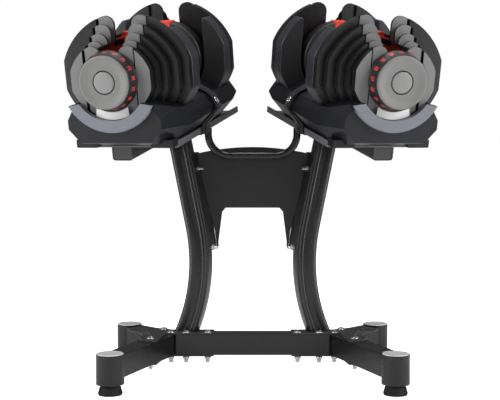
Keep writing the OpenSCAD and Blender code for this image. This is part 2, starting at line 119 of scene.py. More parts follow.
class Graph:
    """The node graph of one material."""

    def __init__(self, name: str) -> None:
        """Starts an empty material of that name."""
        self.material = bpy.data.materials.new(name)
        self.material.use_nodes = True
        self.tree = self.material.node_tree
        self.tree.nodes.clear()

    def node(self, kind: str, settings: dict | None = None, inputs: dict | None = None) -> bpy.types.Node:
        """Adds any node.

        Args:
            kind: The node's type.
            settings: The node's own settings, set first; stops fills a colour ramp.
            inputs: The values or links of its sockets, by name or index.

        Returns:
            The new node.
        """
        node = self.tree.nodes.new(kind)
        for key, value in (settings or {}).items():
            if key == "stops":
                self.fill_ramp(node, value)
            else:
                setattr(node, key, value)
        for key, value in (inputs or {}).items():
            if isinstance(value, Field):
                self.tree.links.new(value.socket, node.inputs[key])
            elif isinstance(value, bpy.types.NodeSocket):
                self.tree.links.new(value, node.inputs[key])
            else:
                node.inputs[key].default_value = value
        return node

    @staticmethod
    def fill_ramp(node: bpy.types.Node, stops: Sequence[tuple[float, float]]) -> None:
        """Sets a colour ramp's stops from pairs of place and grey level."""
        elements = node.color_ramp.elements
        for index, (place, level) in enumerate(stops):
            element = elements[index] if index < 2 else elements.new(place)
            element.position = place
            element.color = (level, level, level, 1.0)

    def field(self, kind: str, settings: dict | None = None, inputs: dict | None = None,
              output: int | str = 0) -> Field:
        """Adds a node and wraps one of its outputs."""
        return Field(self, self.node(kind, settings, inputs).outputs[output])

    def coordinates(self, scale: Point = (1, 1, 1), turn: Point = (0, 0, 0), uv: bool = False) -> Field:
        """Object coordinates in metres, or the piece's own UV map, scaled and turned."""
        source = self.node("ShaderNodeTexCoord").outputs["UV" if uv else "Object"]
        return self.field("ShaderNodeMapping", None, {"Vector": source, "Scale": scale, "Rotation": turn})

    def noise(self, where: Field, scale: float, detail: float = 2.0, rough: float = 0.5) -> Field:
        """Smooth noise between 0 and 1 with features of 1 / scale metres."""
        inputs = {"Vector": where, "Scale": scale, "Detail": detail, "Roughness": rough}
        return self.field("ShaderNodeTexNoise", None, inputs)

    def ramp(self, value: Field, *stops: tuple[float, float]) -> Field:
        """Passes a field through a colour ramp of grey levels."""
        return self.field("ShaderNodeValToRGB", {"stops": stops}, {"Fac": value})

    def tint(self, factor: Term, low: Colour, high: Colour) -> Field:
        """A colour that goes from low to high as factor goes from 0 to 1."""
        settings = {"data_type": "RGBA"}
        inputs = {"Factor": factor, 6: (*low, 1.0), 7: (*high, 1.0)}
        return self.field("ShaderNodeMix", settings, inputs, 2)

    def relief(self, height: Field, depth: float, strength: float = 1.0,
               under: bpy.types.NodeSocket | None = None) -> bpy.types.NodeSocket:
        """A bump of the given depth in metres, laid over another normal if there is one."""
        inputs = {"Height": height, "Distance": depth, "Strength": strength}
        if under is not None:
            inputs["Normal"] = under
        return self.node("ShaderNodeBump", None, inputs).outputs["Normal"]

    def soft_edges(self, radius: float) -> bpy.types.NodeSocket:
        """A normal that rounds sharp edges by the given radius."""
        return self.node("ShaderNodeBevel", {"samples": 4}, {"Radius": radius}).outputs["Normal"]

    def surface(self, varying: dict, fixed: dict) -> bpy.types.Material:
        """Finishes the material with one Principled shader.

        Args:
            varying: Links, by socket name, of what changes over the surface.
            fixed: Numbers and colours, by socket name, that are the same all over.

        Returns:
            The material.
        """
        shader = self.node("ShaderNodeBsdfPrincipled", None, {**fixed, **varying})
        self.node("ShaderNodeOutputMaterial", None, {"Surface": shader.outputs["BSDF"]})
        return self.material


# ---- Finishes ----------------------------------------------------------------


@dataclass(frozen=True)
class Finish:
    """What every finish has: a name, a colour and a gloss."""

    name: str
    colour: Colour
    roughness: float = 0.5

    def shade(self, scale: float) -> Colour:
        """The finish's colour made lighter or darker."""
        return tuple(channel * scale for channel in self.colour)

    def gloss(self, graph: Graph, value: Field, smoother: float, rougher: float) -> Field:
        """The finish's roughness, made smoother or rougher where a field is low or high."""
        return graph.ramp(value, (0.3, self.roughness - smoother), (0.7, self.roughness + rougher))

    def build(self) -> bpy.types.Material:
        """Makes the material."""
        raise NotImplementedError


@dataclass(frozen=True)
class PowderCoat(Finish):
    """Baked powder paint on steel: an orange-peel skin with a faint dust of pale specks."""

    peel: float = 0.00006
    edge: float = 0.0012
    dust: float = 0.35

    def build(self) -> bpy.types.Material:
        """Makes the material."""
        graph = Graph(self.name)
        where = graph.coordinates()
        broad = graph.noise(where, 9.0, 3.0)
        skin = graph.noise(where, 620.0, 2.0, 0.6)
        specks = graph.ramp(graph.noise(where, 1500.0, 1.0), (0.60, 0.0), (0.72, 1.0))
        tone = broad * 0.55 + specks * self.dust
        colour = graph.tint(tone, self.shade(0.82), self.shade(1.5))
        rough = self.gloss(graph, broad * 0.7 + skin * 0.3, 0.06, 0.07)
        normal = graph.relief(skin, self.peel, 0.8, graph.soft_edges(self.edge))
        return graph.surface({"Base Color": colour, "Roughness": rough, "Normal": normal}, {})


@dataclass(frozen=True)
class Moulded(Finish):
    """Moulded plastic with a fine spark-eroded grain and slow changes of tone."""

    grain: float = 0.00007
    grain_scale: float = 1150.0
    mottle: float = 0.16
    specular: float = 0.5
    coat: float = 0.0

    def build(self) -> bpy.types.Material:
        """Makes the material."""
        graph = Graph(self.name)
        where = graph.coordinates()
        cells = graph.field("ShaderNodeTexVoronoi", {"feature": "SMOOTH_F1"},
                            {"Vector": where, "Scale": self.grain_scale})
        fine = graph.noise(where, self.grain_scale * 0.6, 2.0, 0.55)
        broad = graph.noise(where, 14.0, 4.0, 0.55)
        skin = cells * 0.6 + fine * 0.4
        tone = broad * 0.75 + skin * 0.25
        colour = graph.tint(tone, self.shade(1.0 - self.mottle), self.shade(1.0 + self.mottle))
        rough = self.gloss(graph, broad * 0.5 + fine * 0.5, 0.05, 0.06)
        normal = graph.relief(skin, self.grain, 0.9)
        fixed = {"Specular IOR Level": self.specular}
        if self.coat:
            fixed.update({"Coat Weight": self.coat, "Coat Roughness": 0.12})
        return graph.surface({"Base Color": colour, "Roughness": rough, "Normal": normal}, fixed)


@dataclass(frozen=True)
class SatinBand(Finish):
    """Painted iron rubbed to a satin sheen along one direction."""

    def build(self) -> bpy.types.Material:
        """Makes the material."""
        graph = Graph(self.name)
        drawn = graph.noise(graph.coordinates((1.0, 1.0, 0.06)), 900.0, 3.0, 0.6)
        broad = graph.noise(graph.coordinates(), 11.0, 3.0)
        colour = graph.tint(broad * 0.6 + drawn * 0.4, self.shade(0.72), self.shade(1.3))
        rough = self.gloss(graph, drawn, 0.08, 0.1)
        normal = graph.relief(drawn, 0.00004, 0.7)
        return graph.surface({"Base Color": colour, "Roughness": rough, "Normal": normal},
                             {"Specular IOR Level": 0.6})


@dataclass(frozen=True)
class Zinc(Finish):
    """Bright zinc plate: metal with fine scratches and a cloudy bloom."""

    def build(self) -> bpy.types.Material:
        """Makes the material."""
        graph = Graph(self.name)
        where = graph.coordinates()
        bloom = graph.noise(where, 160.0, 3.0)
        scratches = graph.noise(graph.coordinates((1.0, 14.0, 1.0), (0.3, 0.5, 0.9)), 900.0, 2.0)
        colour = graph.tint(bloom, self.shade(0.78), self.shade(1.0))
        rough = self.gloss(graph, bloom * 0.6 + scratches * 0.4, 0.0, 0.18)
        normal = graph.relief(scratches, 0.00003, 0.6, graph.soft_edges(0.0004))
        return graph.surface({"Base Color": colour, "Roughness": rough, "Normal": normal},
                             {"Metallic": 1.0})


@dataclass(frozen=True)
class Rubber(Finish):
    """Matt black rubber, dusty in its hollows."""

    def build(self) -> bpy.types.Material:
        """Makes the material."""
        graph = Graph(self.name)
        where = graph.coordinates()
        pores = graph.noise(where, 800.0, 3.0, 0.65)
        dust = graph.ramp(graph.noise(where, 45.0, 5.0, 0.6), (0.4, 0.0), (0.75, 1.0))
        colour = graph.tint(dust * 0.5 + pores * 0.2, self.colour, self.shade(2.4))
        rough = self.gloss(graph, pores, 0.07, 0.09)
        normal = graph.relief(pores, 0.0001, 0.8)
        return graph.surface({"Base Color": colour, "Roughness": rough, "Normal": normal},
                             {"Specular IOR Level": 0.35})


@dataclass(frozen=True)
class Webbing(Finish):
    """Woven polyester webbing; U runs across the band and V along it, in metres."""

    rib: float = 0.0016
    pick: float = 0.0011

    def build(self) -> bpy.types.Material:
        """Makes the material."""
        graph = Graph(self.name)
        split = graph.node("ShaderNodeSeparateXYZ", None, {0: graph.coordinates(uv=True)})
        across = Field(graph, split.outputs["X"])
        along = Field(graph, split.outputs["Y"])
        ribs = across.wave(self.rib)
        picks = (along + across * 0.45).wave(self.pick)
        weave = ribs * 0.6 + ribs * picks * 0.4
        fuzz = graph.noise(graph.coordinates(), 2600.0, 2.0)
        colour = graph.tint(weave * 0.7 + fuzz * 0.3, self.shade(0.45), self.shade(1.7))
        rough = graph.ramp(weave, (0.0, self.roughness + 0.1), (1.0, self.roughness - 0.06))
        normal = graph.relief(weave + fuzz * 0.15, 0.00035, 0.9)
        return graph.surface({"Base Color": colour, "Roughness": rough, "Normal": normal},
                             {"Specular IOR Level": 0.25, "Sheen Weight": 0.15})


class Look(Enum):
    """Every finish on the object, by the part that wears it."""

    FRAME = PowderCoat("frame_black_coat", (0.008, 0.008, 0.009), 0.26)
    GUSSET = PowderCoat("gusset_coat", (0.040, 0.040, 0.045), 0.46, dust=0.9)
    PANEL = PowderCoat("panel_black_coat", (0.013, 0.013, 0.014), 0.42, edge=0.0008)
    BRACKET = PowderCoat("bracket_grey_coat", (0.115, 0.115, 0.122), 0.42, edge=0.0008)
    ARM = PowderCoat("arm_grey_coat", (0.055, 0.055, 0.058), 0.44)
    CAP = Moulded("cap_white_plastic", (0.80, 0.80, 0.80), 0.28, grain=0.00002, mottle=0.03, coat=0.3)
    FOOT = Rubber("foot_black_rubber", (0.011, 0.011, 0.011), 0.72)
    ZINC = Zinc("bright_zinc", (0.78, 0.78, 0.80), 0.22)
    LABEL = Moulded("label_white_film", (0.82, 0.82, 0.82), 0.45, grain=0.00001, mottle=0.02)
    TRAY = Moulded("tray_black_plastic", (0.010, 0.0105, 0.014), 0.36, 0.00008, 900.0, specular=0.35)
    SADDLE = Moulded("saddle_plastic", (0.190, 0.198, 0.230), 0.34, 0.00008, 900.0)
    WEBBING = Webbing("black_webbing", (0.008, 0.008, 0.009), 0.75)
    GRIP = Rubber("grip_black_rubber", (0.016, 0.016, 0.017), 0.62)
    CORE = Moulded("core_black_plastic", (0.018, 0.018, 0.019), 0.42)
    RED = Moulded("index_red_plastic", (0.86, 0.060, 0.028), 0.38, mottle=0.07)
    NUMERAL = Moulded("numeral_red_paint", (0.80, 0.045, 0.035), 0.45, grain=0.00001, mottle=0.05)
    DIAL = Moulded("dial_grey_plastic", (0.200, 0.200, 0.197), 0.38, grain=0.00006)
    END_CAP = Moulded("end_cap_grey_plastic", (0.255, 0.255, 0.252), 0.42, grain=0.00006)
    RING = Moulded("ring_black_plastic", (0.014, 0.014, 0.015), 0.42)
    SELECTOR = Moulded("selector_black_plastic", (0.012, 0.012, 0.012), 0.45)
    PLATE = Moulded("plate_grey_cover", (0.200, 0.200, 0.200), 0.46, grain=0.00009)
    # Near-black rim material: painted shade for the plates' edges, slit floors, pockets, backs and inner
    # wing fronts.
    RIM = Moulded("plate_rim_painted_shade", (0.008, 0.008, 0.009), 0.30, grain=0.00006)
    BAND = SatinBand("inner_plate_satin", (0.026, 0.027, 0.034), 0.30)
    # Painted shade: the inner plate's flat faces are darkened to stand for the shadow the outer plates cast
    # on them.
    SHADOW = Moulded("inner_plate_painted_shade", (0.013, 0.013, 0.014), 0.42, grain=0.00007)

    @property
    def material(self) -> bpy.types.Material:
        """The finish's material, built the first time it is asked for."""
        return bpy.data.materials.get(self.value.name) or self.value.build()


# ---- The workbench -----------------------------------------------------------


class Bench:
    """One mesh on the bench, shaped with Blender's edit tools."""

    def __init__(self, name: str, add: Callable, **settings: object) -> None:
        """Adds a primitive and bakes its place into its mesh.

        Args:
            name: The piece's name.
            add: The operator that adds the primitive.
            settings: The operator's own settings.
        """
        bpy.ops.object.select_all(action="DESELECT")
        add(**settings)
        self.obj = bpy.context.object
        self.obj.name = name
        self.obj.data.name = name
        if self.obj.type == "MESH":
            bpy.ops.object.transform_apply(location=True, rotation=True, scale=True)

    @classmethod
    def block(cls, name: str, low: Point, high: Point) -> "Bench":
        """A block between two corners, given in millimetres."""
        low_corner, high_corner = mm(*low), mm(*high)
        return cls(name, bpy.ops.mesh.primitive_cube_add, size=1.0,
                   location=(low_corner + high_corner) / 2, scale=high_corner - low_corner)

    @classmethod
    def drum(cls, name: str, radius: float, start: Point, run: Point, sides: int = 64) -> "Bench":
        """A round bar from a point along a vector, in millimetres."""
        way = mm(*run)
        turn = way.to_track_quat("Z", "Y").to_euler()
        return cls(name, bpy.ops.mesh.primitive_cylinder_add, vertices=sides, radius=radius * MM,
                   depth=way.length, location=mm(*start) + way / 2, rotation=turn)

    @classmethod
    def chain(cls, name: str, points: Sequence[Point], closed: bool = False) -> "Bench":
        """A chain of edges drawn from point to point, in millimetres.

        Args:
            name: The piece's name.
            points: The chain's points.
            closed: Whether the last point joins the first and the ring is filled.

        Returns:
            The piece, with all of it selected.
        """
        piece = cls(name, bpy.ops.mesh.primitive_plane_add, size=MM)
        piece.edit()
        bpy.ops.mesh.select_mode(type="VERT")
        bpy.ops.mesh.select_all(action="SELECT")
        bpy.ops.mesh.merge(type="CENTER")
        bpy.ops.transform.translate(value=mm(*points[0]))
        for near, far in zip(points, points[1:]):
            step = mm(*far) - mm(*near)
            bpy.ops.mesh.extrude_vertices_move(TRANSFORM_OT_translate={"value": step})
        if closed:
            ends = (mm(*points[0]), mm(*points[-1]))
            piece.pick_points(lambda place: min((place - end).length for end in ends) < 1e-6)
            bpy.ops.mesh.edge_face_add()
            bpy.ops.mesh.select_all(action="SELECT")
            bpy.ops.mesh.edge_face_add()
        else:
            bpy.ops.mesh.select_all(action="SELECT")
        return piece

    @classmethod
    def raised_text(cls, name: str, text: str, size: float, thickness: float) -> "Bench":
        """Raised characters of a size and thickness in millimetres, centred on the origin."""
        piece = cls(name, bpy.ops.object.text_add)
        curve = piece.obj.data
        curve.body, curve.size = text, size * MM
        curve.align_x, curve.align_y = "CENTER", "CENTER"
        curve.extrude, curve.offset = thickness * MM, 0.1 * MM
        curve.resolution_u = 3
        bpy.ops.object.convert(target="MESH")
        piece.obj = bpy.context.object
        return piece

    @classmethod
    def slab(cls, name: str, outline: Sequence[Point], run: Point) -> "Bench":
        """An outline, filled and drawn out along a vector, in millimetres."""
        piece = cls.chain(name, outline, closed=True)
        return piece.extrude(*run).finish_normals()

    @classmethod
    def turned(cls, name: str, profile: Sequence[Point], sides: int = 96) -> "Bench":
        """A shape of revolution about the Y axis.

        Args:
            name: The piece's name.
            profile: Pairs of radius and Y, in millimetres, from one end to the other.
            sides: Steps round the axis.

        Returns:
            The piece.
        """
        piece = cls.chain(name, [(radius, y, 0) for radius, y in profile])
        bpy.ops.mesh.spin(steps=sides, angle=2 * math.pi, center=(0, 0, 0), axis=(0, 1, 0))
        return piece.weld().close_holes().finish_normals()

    # Modes and selection

    def edit(self) -> "Bench":
        """Opens the piece in edit mode, with nothing else selected."""
        if bpy.context.object is not self.obj or self.obj.mode != "EDIT":
            self.rest()
            bpy.ops.object.mode_set(mode="EDIT")
        return self

    def rest(self) -> "Bench":
        """Leaves edit mode and makes the piece the only selected one."""
        if bpy.context.object is not None and bpy.context.object.mode == "EDIT":
            bpy.ops.object.mode_set(mode="OBJECT")
        bpy.ops.object.select_all(action="DESELECT")
        self.obj.select_set(True)
        bpy.context.view_layer.objects.active = self.obj
        return self

    def pick(self, kind: str, chosen: Callable[[bmesh.types.BMesh], list]) -> "Bench":
        """Selects only the elements that a function names, as VERT, EDGE or FACE."""
        self.edit()
        bpy.ops.mesh.select_mode(type=kind)
        bpy.ops.mesh.select_all(action="DESELECT")
        mesh = bmesh.from_edit_mesh(self.obj.data)
        mesh.normal_update()
        for element in chosen(mesh):
            element.select_set(True)
        mesh.select_flush_mode()
        bmesh.update_edit_mesh(self.obj.data)
        return self

    def pick_faces(self, test: FaceTest) -> "Bench":
        """Selects the faces whose centre and normal pass a test."""
        return self.pick("FACE", lambda mesh: [face for face in mesh.faces
                                               if test(face.calc_center_median(), face.normal)])

    def pick_edges(self, test: Callable[[Vector, Vector], bool]) -> "Bench":
        """Selects the edges whose middle and direction pass a test."""
        def passes(edge: bmesh.types.BMEdge) -> bool:
            near, far = (end.co for end in edge.verts)
            return test((near + far) / 2, (far - near).normalized())

        return self.pick("EDGE", lambda mesh: [edge for edge in mesh.edges if passes(edge)])

    def pick_points(self, test: Callable[[Vector], bool]) -> "Bench":
        """Selects the points whose place passes a test."""
        return self.pick("VERT", lambda mesh: [point for point in mesh.verts if test(point.co)])

    # Shaping what is selected

    def extrude(self, x: float, y: float, z: float) -> "Bench":
        """Draws the selection out along a vector in millimetres."""
        bpy.ops.mesh.extrude_region_move(TRANSFORM_OT_translate={"value": mm(x, y, z)})
        return self

    def inset(self, width: float, depth: float = 0.0) -> "Bench":
        """Insets the selected faces, in millimetres."""
        bpy.ops.mesh.inset(thickness=width * MM, depth=depth * MM)
        return self

    def bevel(self, width: float, segments: int = 2) -> "Bench":
        """Bevels the selected edges, in millimetres."""
        bpy.ops.mesh.bevel(offset=width * MM, segments=segments, affect="EDGES")
        return self

    def trim(self, point: Point, normal: Point) -> "Bench":
        """Cuts away everything on the normal's side of a plane and closes the cut."""
        self.edit()
        bpy.ops.mesh.select_all(action="SELECT")
        bpy.ops.mesh.bisect(plane_co=mm(*point), plane_no=Vector(normal).normalized(), use_fill=True,
                            clear_outer=True)
        return self

    def weld(self) -> "Bench":
        """Merges points that lie on each other."""
        self.edit()
        bpy.ops.mesh.select_all(action="SELECT")
        bpy.ops.mesh.remove_doubles(threshold=2e-6)
        return self

    def close_holes(self) -> "Bench":
        """Fills every open ring of edges."""
        self.edit()
        bpy.ops.mesh.select_all(action="SELECT")
        bpy.ops.mesh.fill_holes(sides=0)
        return self

    def finish_normals(self) -> "Bench":
        """Turns all faces outwards."""
        self.edit()
        bpy.ops.mesh.select_all(action="SELECT")
        bpy.ops.mesh.normals_make_consistent(inside=False)
        return self.rest()

    # Whole-piece steps

    def apply(self, kind: str, **settings: object) -> "Bench":
        """Adds a modifier of that kind, sets it and applies it."""
        self.rest()
        modifier = self.obj.modifiers.new(kind.lower(), kind)
        for key, value in settings.items():
            setattr(modifier, key, value)
        bpy.ops.object.modifier_apply(modifier=modifier.name)
        return self

    def combine(self, operation: str, *tools: "Bench") -> "Bench":
        """Joins other pieces to this one, or cuts them out of it, and uses them up."""
        for tool in tools:
            tool.rest()
            self.apply("BOOLEAN", operation=operation, solver="EXACT", object=tool.obj)
            tool.put_away()
        return self

    def round_edges(self, width: float, segments: int = 2, angle: float = 32.0) -> "Bench":
        """Rounds every sharp edge by a width in millimetres and keeps flat faces flat."""
        self.weld().rest()
        bpy.ops.object.shade_smooth()
        return self.apply("BEVEL", width=width * MM, segments=segments, limit_method="ANGLE",
                          angle_limit=math.radians(angle), harden_normals=True,
                          use_clamp_overlap=True, miter_outer="MITER_ARC")

    def smooth(self, angle: float = 35.0) -> "Bench":
        """Shades the piece smooth up to an angle."""
        self.rest()
        bpy.ops.object.shade_smooth_by_angle(angle=math.radians(angle))
        return self

    def absorb(self, *others: "Bench") -> "Bench":
        """Joins other pieces to this one as further shells of the same mesh."""
        self.rest()
        for other in others:
            other.obj.select_set(True)
        bpy.ops.object.join()
        return self

    @staticmethod
    def joined(name: str, pieces: Sequence["Bench"]) -> "Bench":
        """All pieces as one, under a new name."""
        whole = pieces[0].absorb(*pieces[1:])
        whole.obj.name = whole.obj.data.name = name
        return whole

    def put_away(self) -> None:
        """Removes a pattern once its copies are made."""
        bpy.data.objects.remove(self.obj)

    def copied(self, name: str, place: Matrix) -> "Bench":
        """A copy with its own mesh, moved by a matrix.

        Args:
            name: The copy's name.
            place: Where it goes; a mirroring matrix has its faces turned back.

        Returns:
            The copy.
        """
        twin = object.__new__(Bench)
        twin.obj = self.obj.copy()
        twin.obj.data = self.obj.data.copy()
        twin.obj.name = twin.obj.data.name = name
        bpy.context.scene.collection.objects.link(twin.obj)
        return twin.move(place)

    def move(self, place: Matrix) -> "Bench":
        """Moves the mesh by a matrix."""
        self.rest()
        self.obj.data.transform(place)
        if place.determinant() < 0:
            self.obj.data.flip_normals()
        self.obj.data.update()
        return self

    def paint(self, *looks: Look) -> "Bench":
        """Gives the piece its materials, the first on every face."""
        self.rest()
        self.obj.data.materials.clear()
        for look in looks:
            self.obj.data.materials.append(look.material)
        for face in self.obj.data.polygons:
            face.material_index = 0
        return self

    def paint_faces(self, slot: int, test: FaceTest) -> "Bench":
        """Gives the faces that pass a test the material of a slot."""
        for face in self.obj.data.polygons:
            if test(face.center, face.normal):
                face.material_index = slot
        return self

    def hand_over(self, body: str, slot: str, *nodes: str) -> "Bench":
        """Lets the finished piece ride on a body and hides the CAD nodes it stands for; the record slot is
        not used.
        """
        self.rest()
        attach(self.obj, body)
        if nodes:
            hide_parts(*nodes)
        log.info("%s on %s: %d faces", self.obj.name, body, len(self.obj.data.polygons))
        return self


def arc(radius: float, start: float, end: float, steps: int, centre: Point = (0.0, 0.0)) -> list[tuple]:
    """Points along an arc in a plane, with angles in degrees from its first axis."""
    angles = [math.radians(start + (end - start) * step / steps) for step in range(steps + 1)]
    return [(centre[0] + radius * math.cos(a), centre[1] + radius * math.sin(a)) for a in angles]


def in_xz(points: Sequence[Point], y: float) -> list[tuple]:
    """Plane points stood up in X and Z at one Y."""
    return [(x, y, z) for x, z in points]


def in_xy(points: Sequence[Point], z: float) -> list[tuple]:
    """Plane points laid down in X and Y at one Z."""
    return [(x, y, z) for x, y in points]


def dress(node: str, look: Look) -> None:
    """Gives a CAD node that is shown as it is its finish."""
    piece = frame["nodes"][node]
    piece.data.materials.clear()
    piece.data.materials.append(look.material)
    log.info("%s keeps its CAD shape", node)


# ---- Where a dumbbell lies ---------------------------------------------------


class Side(Enum):
    """The two sides of the stand, as seen from the dials in front."""

    LEFT = "left"
    RIGHT = "right"

    @property
    def joints(self) -> dict[str, dict]:
        """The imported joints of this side, by name without the side."""
        lead = self.value + "_"
        return {j["name"][len(lead):]: j for j in frame["joints"] if j["name"].startswith(lead)}

    @property
    def seat(self) -> Matrix:
        """The place of this side's dumbbell: its middle, with Y along its axis and Z up its lift."""
        joints = self.joints
        front, rear = (Vector(joints[f"{end}_dial_turn"]["pos_m"]) for end in ("front", "rear"))
        along = Vector(joints["front_dial_turn"]["axis"])
        up = Vector(joints["lift"]["axis"])
        turn = Matrix((along.cross(up), along, up)).transposed()
        return Matrix.Translation((front + rear) / 2) @ turn.to_4x4()

    @property
    def bracket_seat(self) -> Matrix:
        """The seat for what is mirrored from side to side: X points to the other dumbbell."""
        return self.seat if self is Side.LEFT else self.seat @ MIRROR_X

    @property
    def handle_body(self) -> str:
        """The body that rises with this side's handle."""
        return "left_dumbbell" if self is Side.LEFT else "right_handle"

    @property
    def plate_body(self) -> str:
        """The body that this side's weight plates belong to."""
        return "left_dumbbell" if self is Side.LEFT else STAND


class End(Enum):
    """The two ends of a dumbbell."""

    FRONT = "front"
    REAR = "rear"

    @property
    def turn(self) -> Matrix:
        """What brings a front-end piece to this end."""
        return Matrix.Identity(4) if self is End.FRONT else Matrix.Rotation(math.pi, 4, "Z")


MIRROR_X = Matrix.Diagonal((-1.0, 1.0, 1.0, 1.0))
UPRIGHT = Matrix.Rotation(math.pi / 2, 4, "X")


# ---- Stand -------------------------------------------------------------------


@dataclass
class Base:
    """Crossbar, legs, gusset plates, foot posts, levelling feet and their bolts."""

    post_x: float = 251.6
    post_y: float = 158.2
    post_top: float = 72.0
    bolt_x: Sequence[float] = (194.0, 176.0, 160.0, 130.0, 88.0)
    bolt_y: Sequence[float] = (-7.0, 92.0, 58.0, 56.2, 58.5)
    middle_y: float = -38.3
    deck: float = 72.0
    underside: float = 26.0
    rib_span: Sequence[float] = (2.0, 13.5)
    rib_pitch: float = 15.0
    rib_width: float = 9.0
    rib_depth: float = 0.9
    foot_scale: float = 0.96
    stem_past: float = 12.5

    def build(self) -> None:
        """Makes every piece of the base."""
        for node in ("crossbar", "front_left_leg", "rear_left_leg", "front_right_leg", "rear_right_leg"):
            dress(node, Look.FRAME)
        dress("gusset_plates", Look.GUSSET)
        self.caps()
        self.feet()
        self.bolts()
        self.nuts()

    def posts(self) -> dict[str, Vector]:
        """The floor point under each post, by the foot's name."""
        return {
            f"{end}_{side}_foot": mm(across * self.post_x, along * self.post_y + self.middle_y, 0)
            for side, across in (("left", -1), ("right", 1)) for end, along in (("front", -1), ("rear", 1))
        }

    def caps(self) -> None:
        """White caps with a dished top and a thin dark seam to the post."""
        cap = Bench.turned("post_caps", [(0, 0.7), (18, 0.9), (21.4, 1.35), (23.0, 1.3), (23.8, 0.5),
                                         (23.8, 0), (22.4, -0.4), (22.4, -5), (0, -5)])
        cap.move(UPRIGHT).smooth(40)
        copies = [cap.copied("post_cap", Matrix.Translation(place + mm(0, 0, self.post_top)))
                  for place in self.posts().values()]
        cap.put_away()
        caps = Bench.joined("post_cap_set", copies)
        caps.paint(Look.CAP).hand_over(STAND, "cap_white", "post_caps")

    def feet(self) -> None:
        """Ribbed rubber cones with a steel lock nut under each post."""
        cone = Bench.turned("foot", [(0, 0.2), (15, 0.2), (16, 1.2), (20.6, 1.2), (21.9, 0), (22, 2.4),
                                     (20.8, 6), (18.9, 13.2), (18.0, 16.2), (17.2, 17), (0, 17)], sides=120)
        cone.move(UPRIGHT)
        low, high = self.rib_span
        cone.pick_faces(lambda c, n: low * MM < c.z < high * MM and abs(n.z) < 0.6 and self.rib_here(c))
        bpy.ops.mesh.extrude_region_shrink_fatten(TRANSFORM_OT_shrink_fatten={"value": self.rib_depth * MM})
        cone.finish_normals().move(Matrix.Diagonal((self.foot_scale, self.foot_scale, 1.0, 1.0)))
        cone.smooth(40)
        nut = self.hexagon("foot_nut", 8.6, 17.0, 18.7)
        for name, place in self.posts().items():
            foot = cone.copied(name + "_rubber", Matrix.Translation(place)).paint(Look.FOOT)
            foot.hand_over(name, "foot_rubber", name)
            stud = nut.copied(name + "_lock_nut", Matrix.Translation(place)).paint(Look.ZINC)
            stud.hand_over(name, "foot_rubber")
        cone.put_away()
        nut.put_away()

    def rib_here(self, centre: Vector) -> bool:
        """Whether a face of the foot's cone lies on one of its ribs."""
        return math.degrees(math.atan2(centre.y, centre.x)) % self.rib_pitch < self.rib_width

    @staticmethod
    def hexagon(name: str, radius: float, low: float, high: float) -> Bench:
        """A hexagon nut with a chamfered crown, standing on Z."""
        nut = Bench.drum(name, radius, (0, 0, low), (0, 0, high - low), sides=6)
        crown = Bench.drum("crown", radius * 1.06, (0, 0, low - 1), (0, 0, high - low + 2), sides=48)
        crown.pick_edges(lambda c, d: abs(d.z) < 0.1).bevel((high - low) * 0.45 + 1.0, 1)
        nut.combine("INTERSECT", crown)
        return nut.round_edges(0.25, 1, 25).smooth(25)

    def bolts(self) -> None:
        """Round-headed bolts with a cross recess, on flat washers."""
        head = Bench.turned("bolt", [(0, 4.4), (2.6, 4.3), (5.2, 3.5), (7.0, 1.9), (7.6, 0.9), (7.6, 0.35),
                                     (6.4, 0.3), (6.4, 0.0), (0, 0)], sides=40)
        head.move(UPRIGHT)
        slot = Bench.block("slot", (-4.0, -0.75, 2.2), (4.0, 0.75, 6))
        slot.combine("UNION", Bench.block("cross", (-0.75, -4.0, 2.2), (0.75, 4.0, 6)))
        head.combine("DIFFERENCE", slot).smooth(35)
        washer = Bench.turned("washer", [(6.0, 0.0), (8.2, 0.0), (8.5, 0.3), (8.5, 0.7), (8.2, 1.0),
                                         (6.0, 1.0), (6.0, 0.0)])
        washer.move(UPRIGHT)
        stem = Bench.drum("stem", 3.9, (0, 0, 0.2), (0, 0, self.underside - self.deck - self.stem_past), 24)
        head.absorb(stem)
        bolts, washers = [], []
        for side in (-1, 1):
            for index, (x, y) in enumerate(zip(self.bolt_x, self.bolt_y)):
                spot = mm(side * x, y + self.middle_y, self.deck)
                spun = Matrix.Translation(spot) @ Matrix.Rotation(0.5 + 0.9 * index * side, 4, "Z")
                bolts.append(head.copied("frame_bolt", spun))
                washers.append(washer.copied("frame_washer", Matrix.Translation(spot)))
        head.put_away()
        washer.put_away()
        whole = Bench.joined("frame_bolt_set", bolts + washers)
        whole.paint(Look.ZINC).hand_over(STAND, "zinc", "frame_bolts")

    def nuts(self) -> None:
        """Chamfered nuts on the bolts' lower ends."""
        pattern = self.hexagon("frame_nut", 7.2, -6.5, 0.0)
        nuts = [
            pattern.copied("frame_nut", Matrix.Translation(mm(side * x, y + self.middle_y, self.underside)))
            for side in (-1, 1) for x, y in zip(self.bolt_x, self.bolt_y)
        ]
        pattern.put_away()
        Bench.joined("frame_nut_set", nuts).paint(Look.ZINC).hand_over(STAND, "zinc", "frame_nuts")


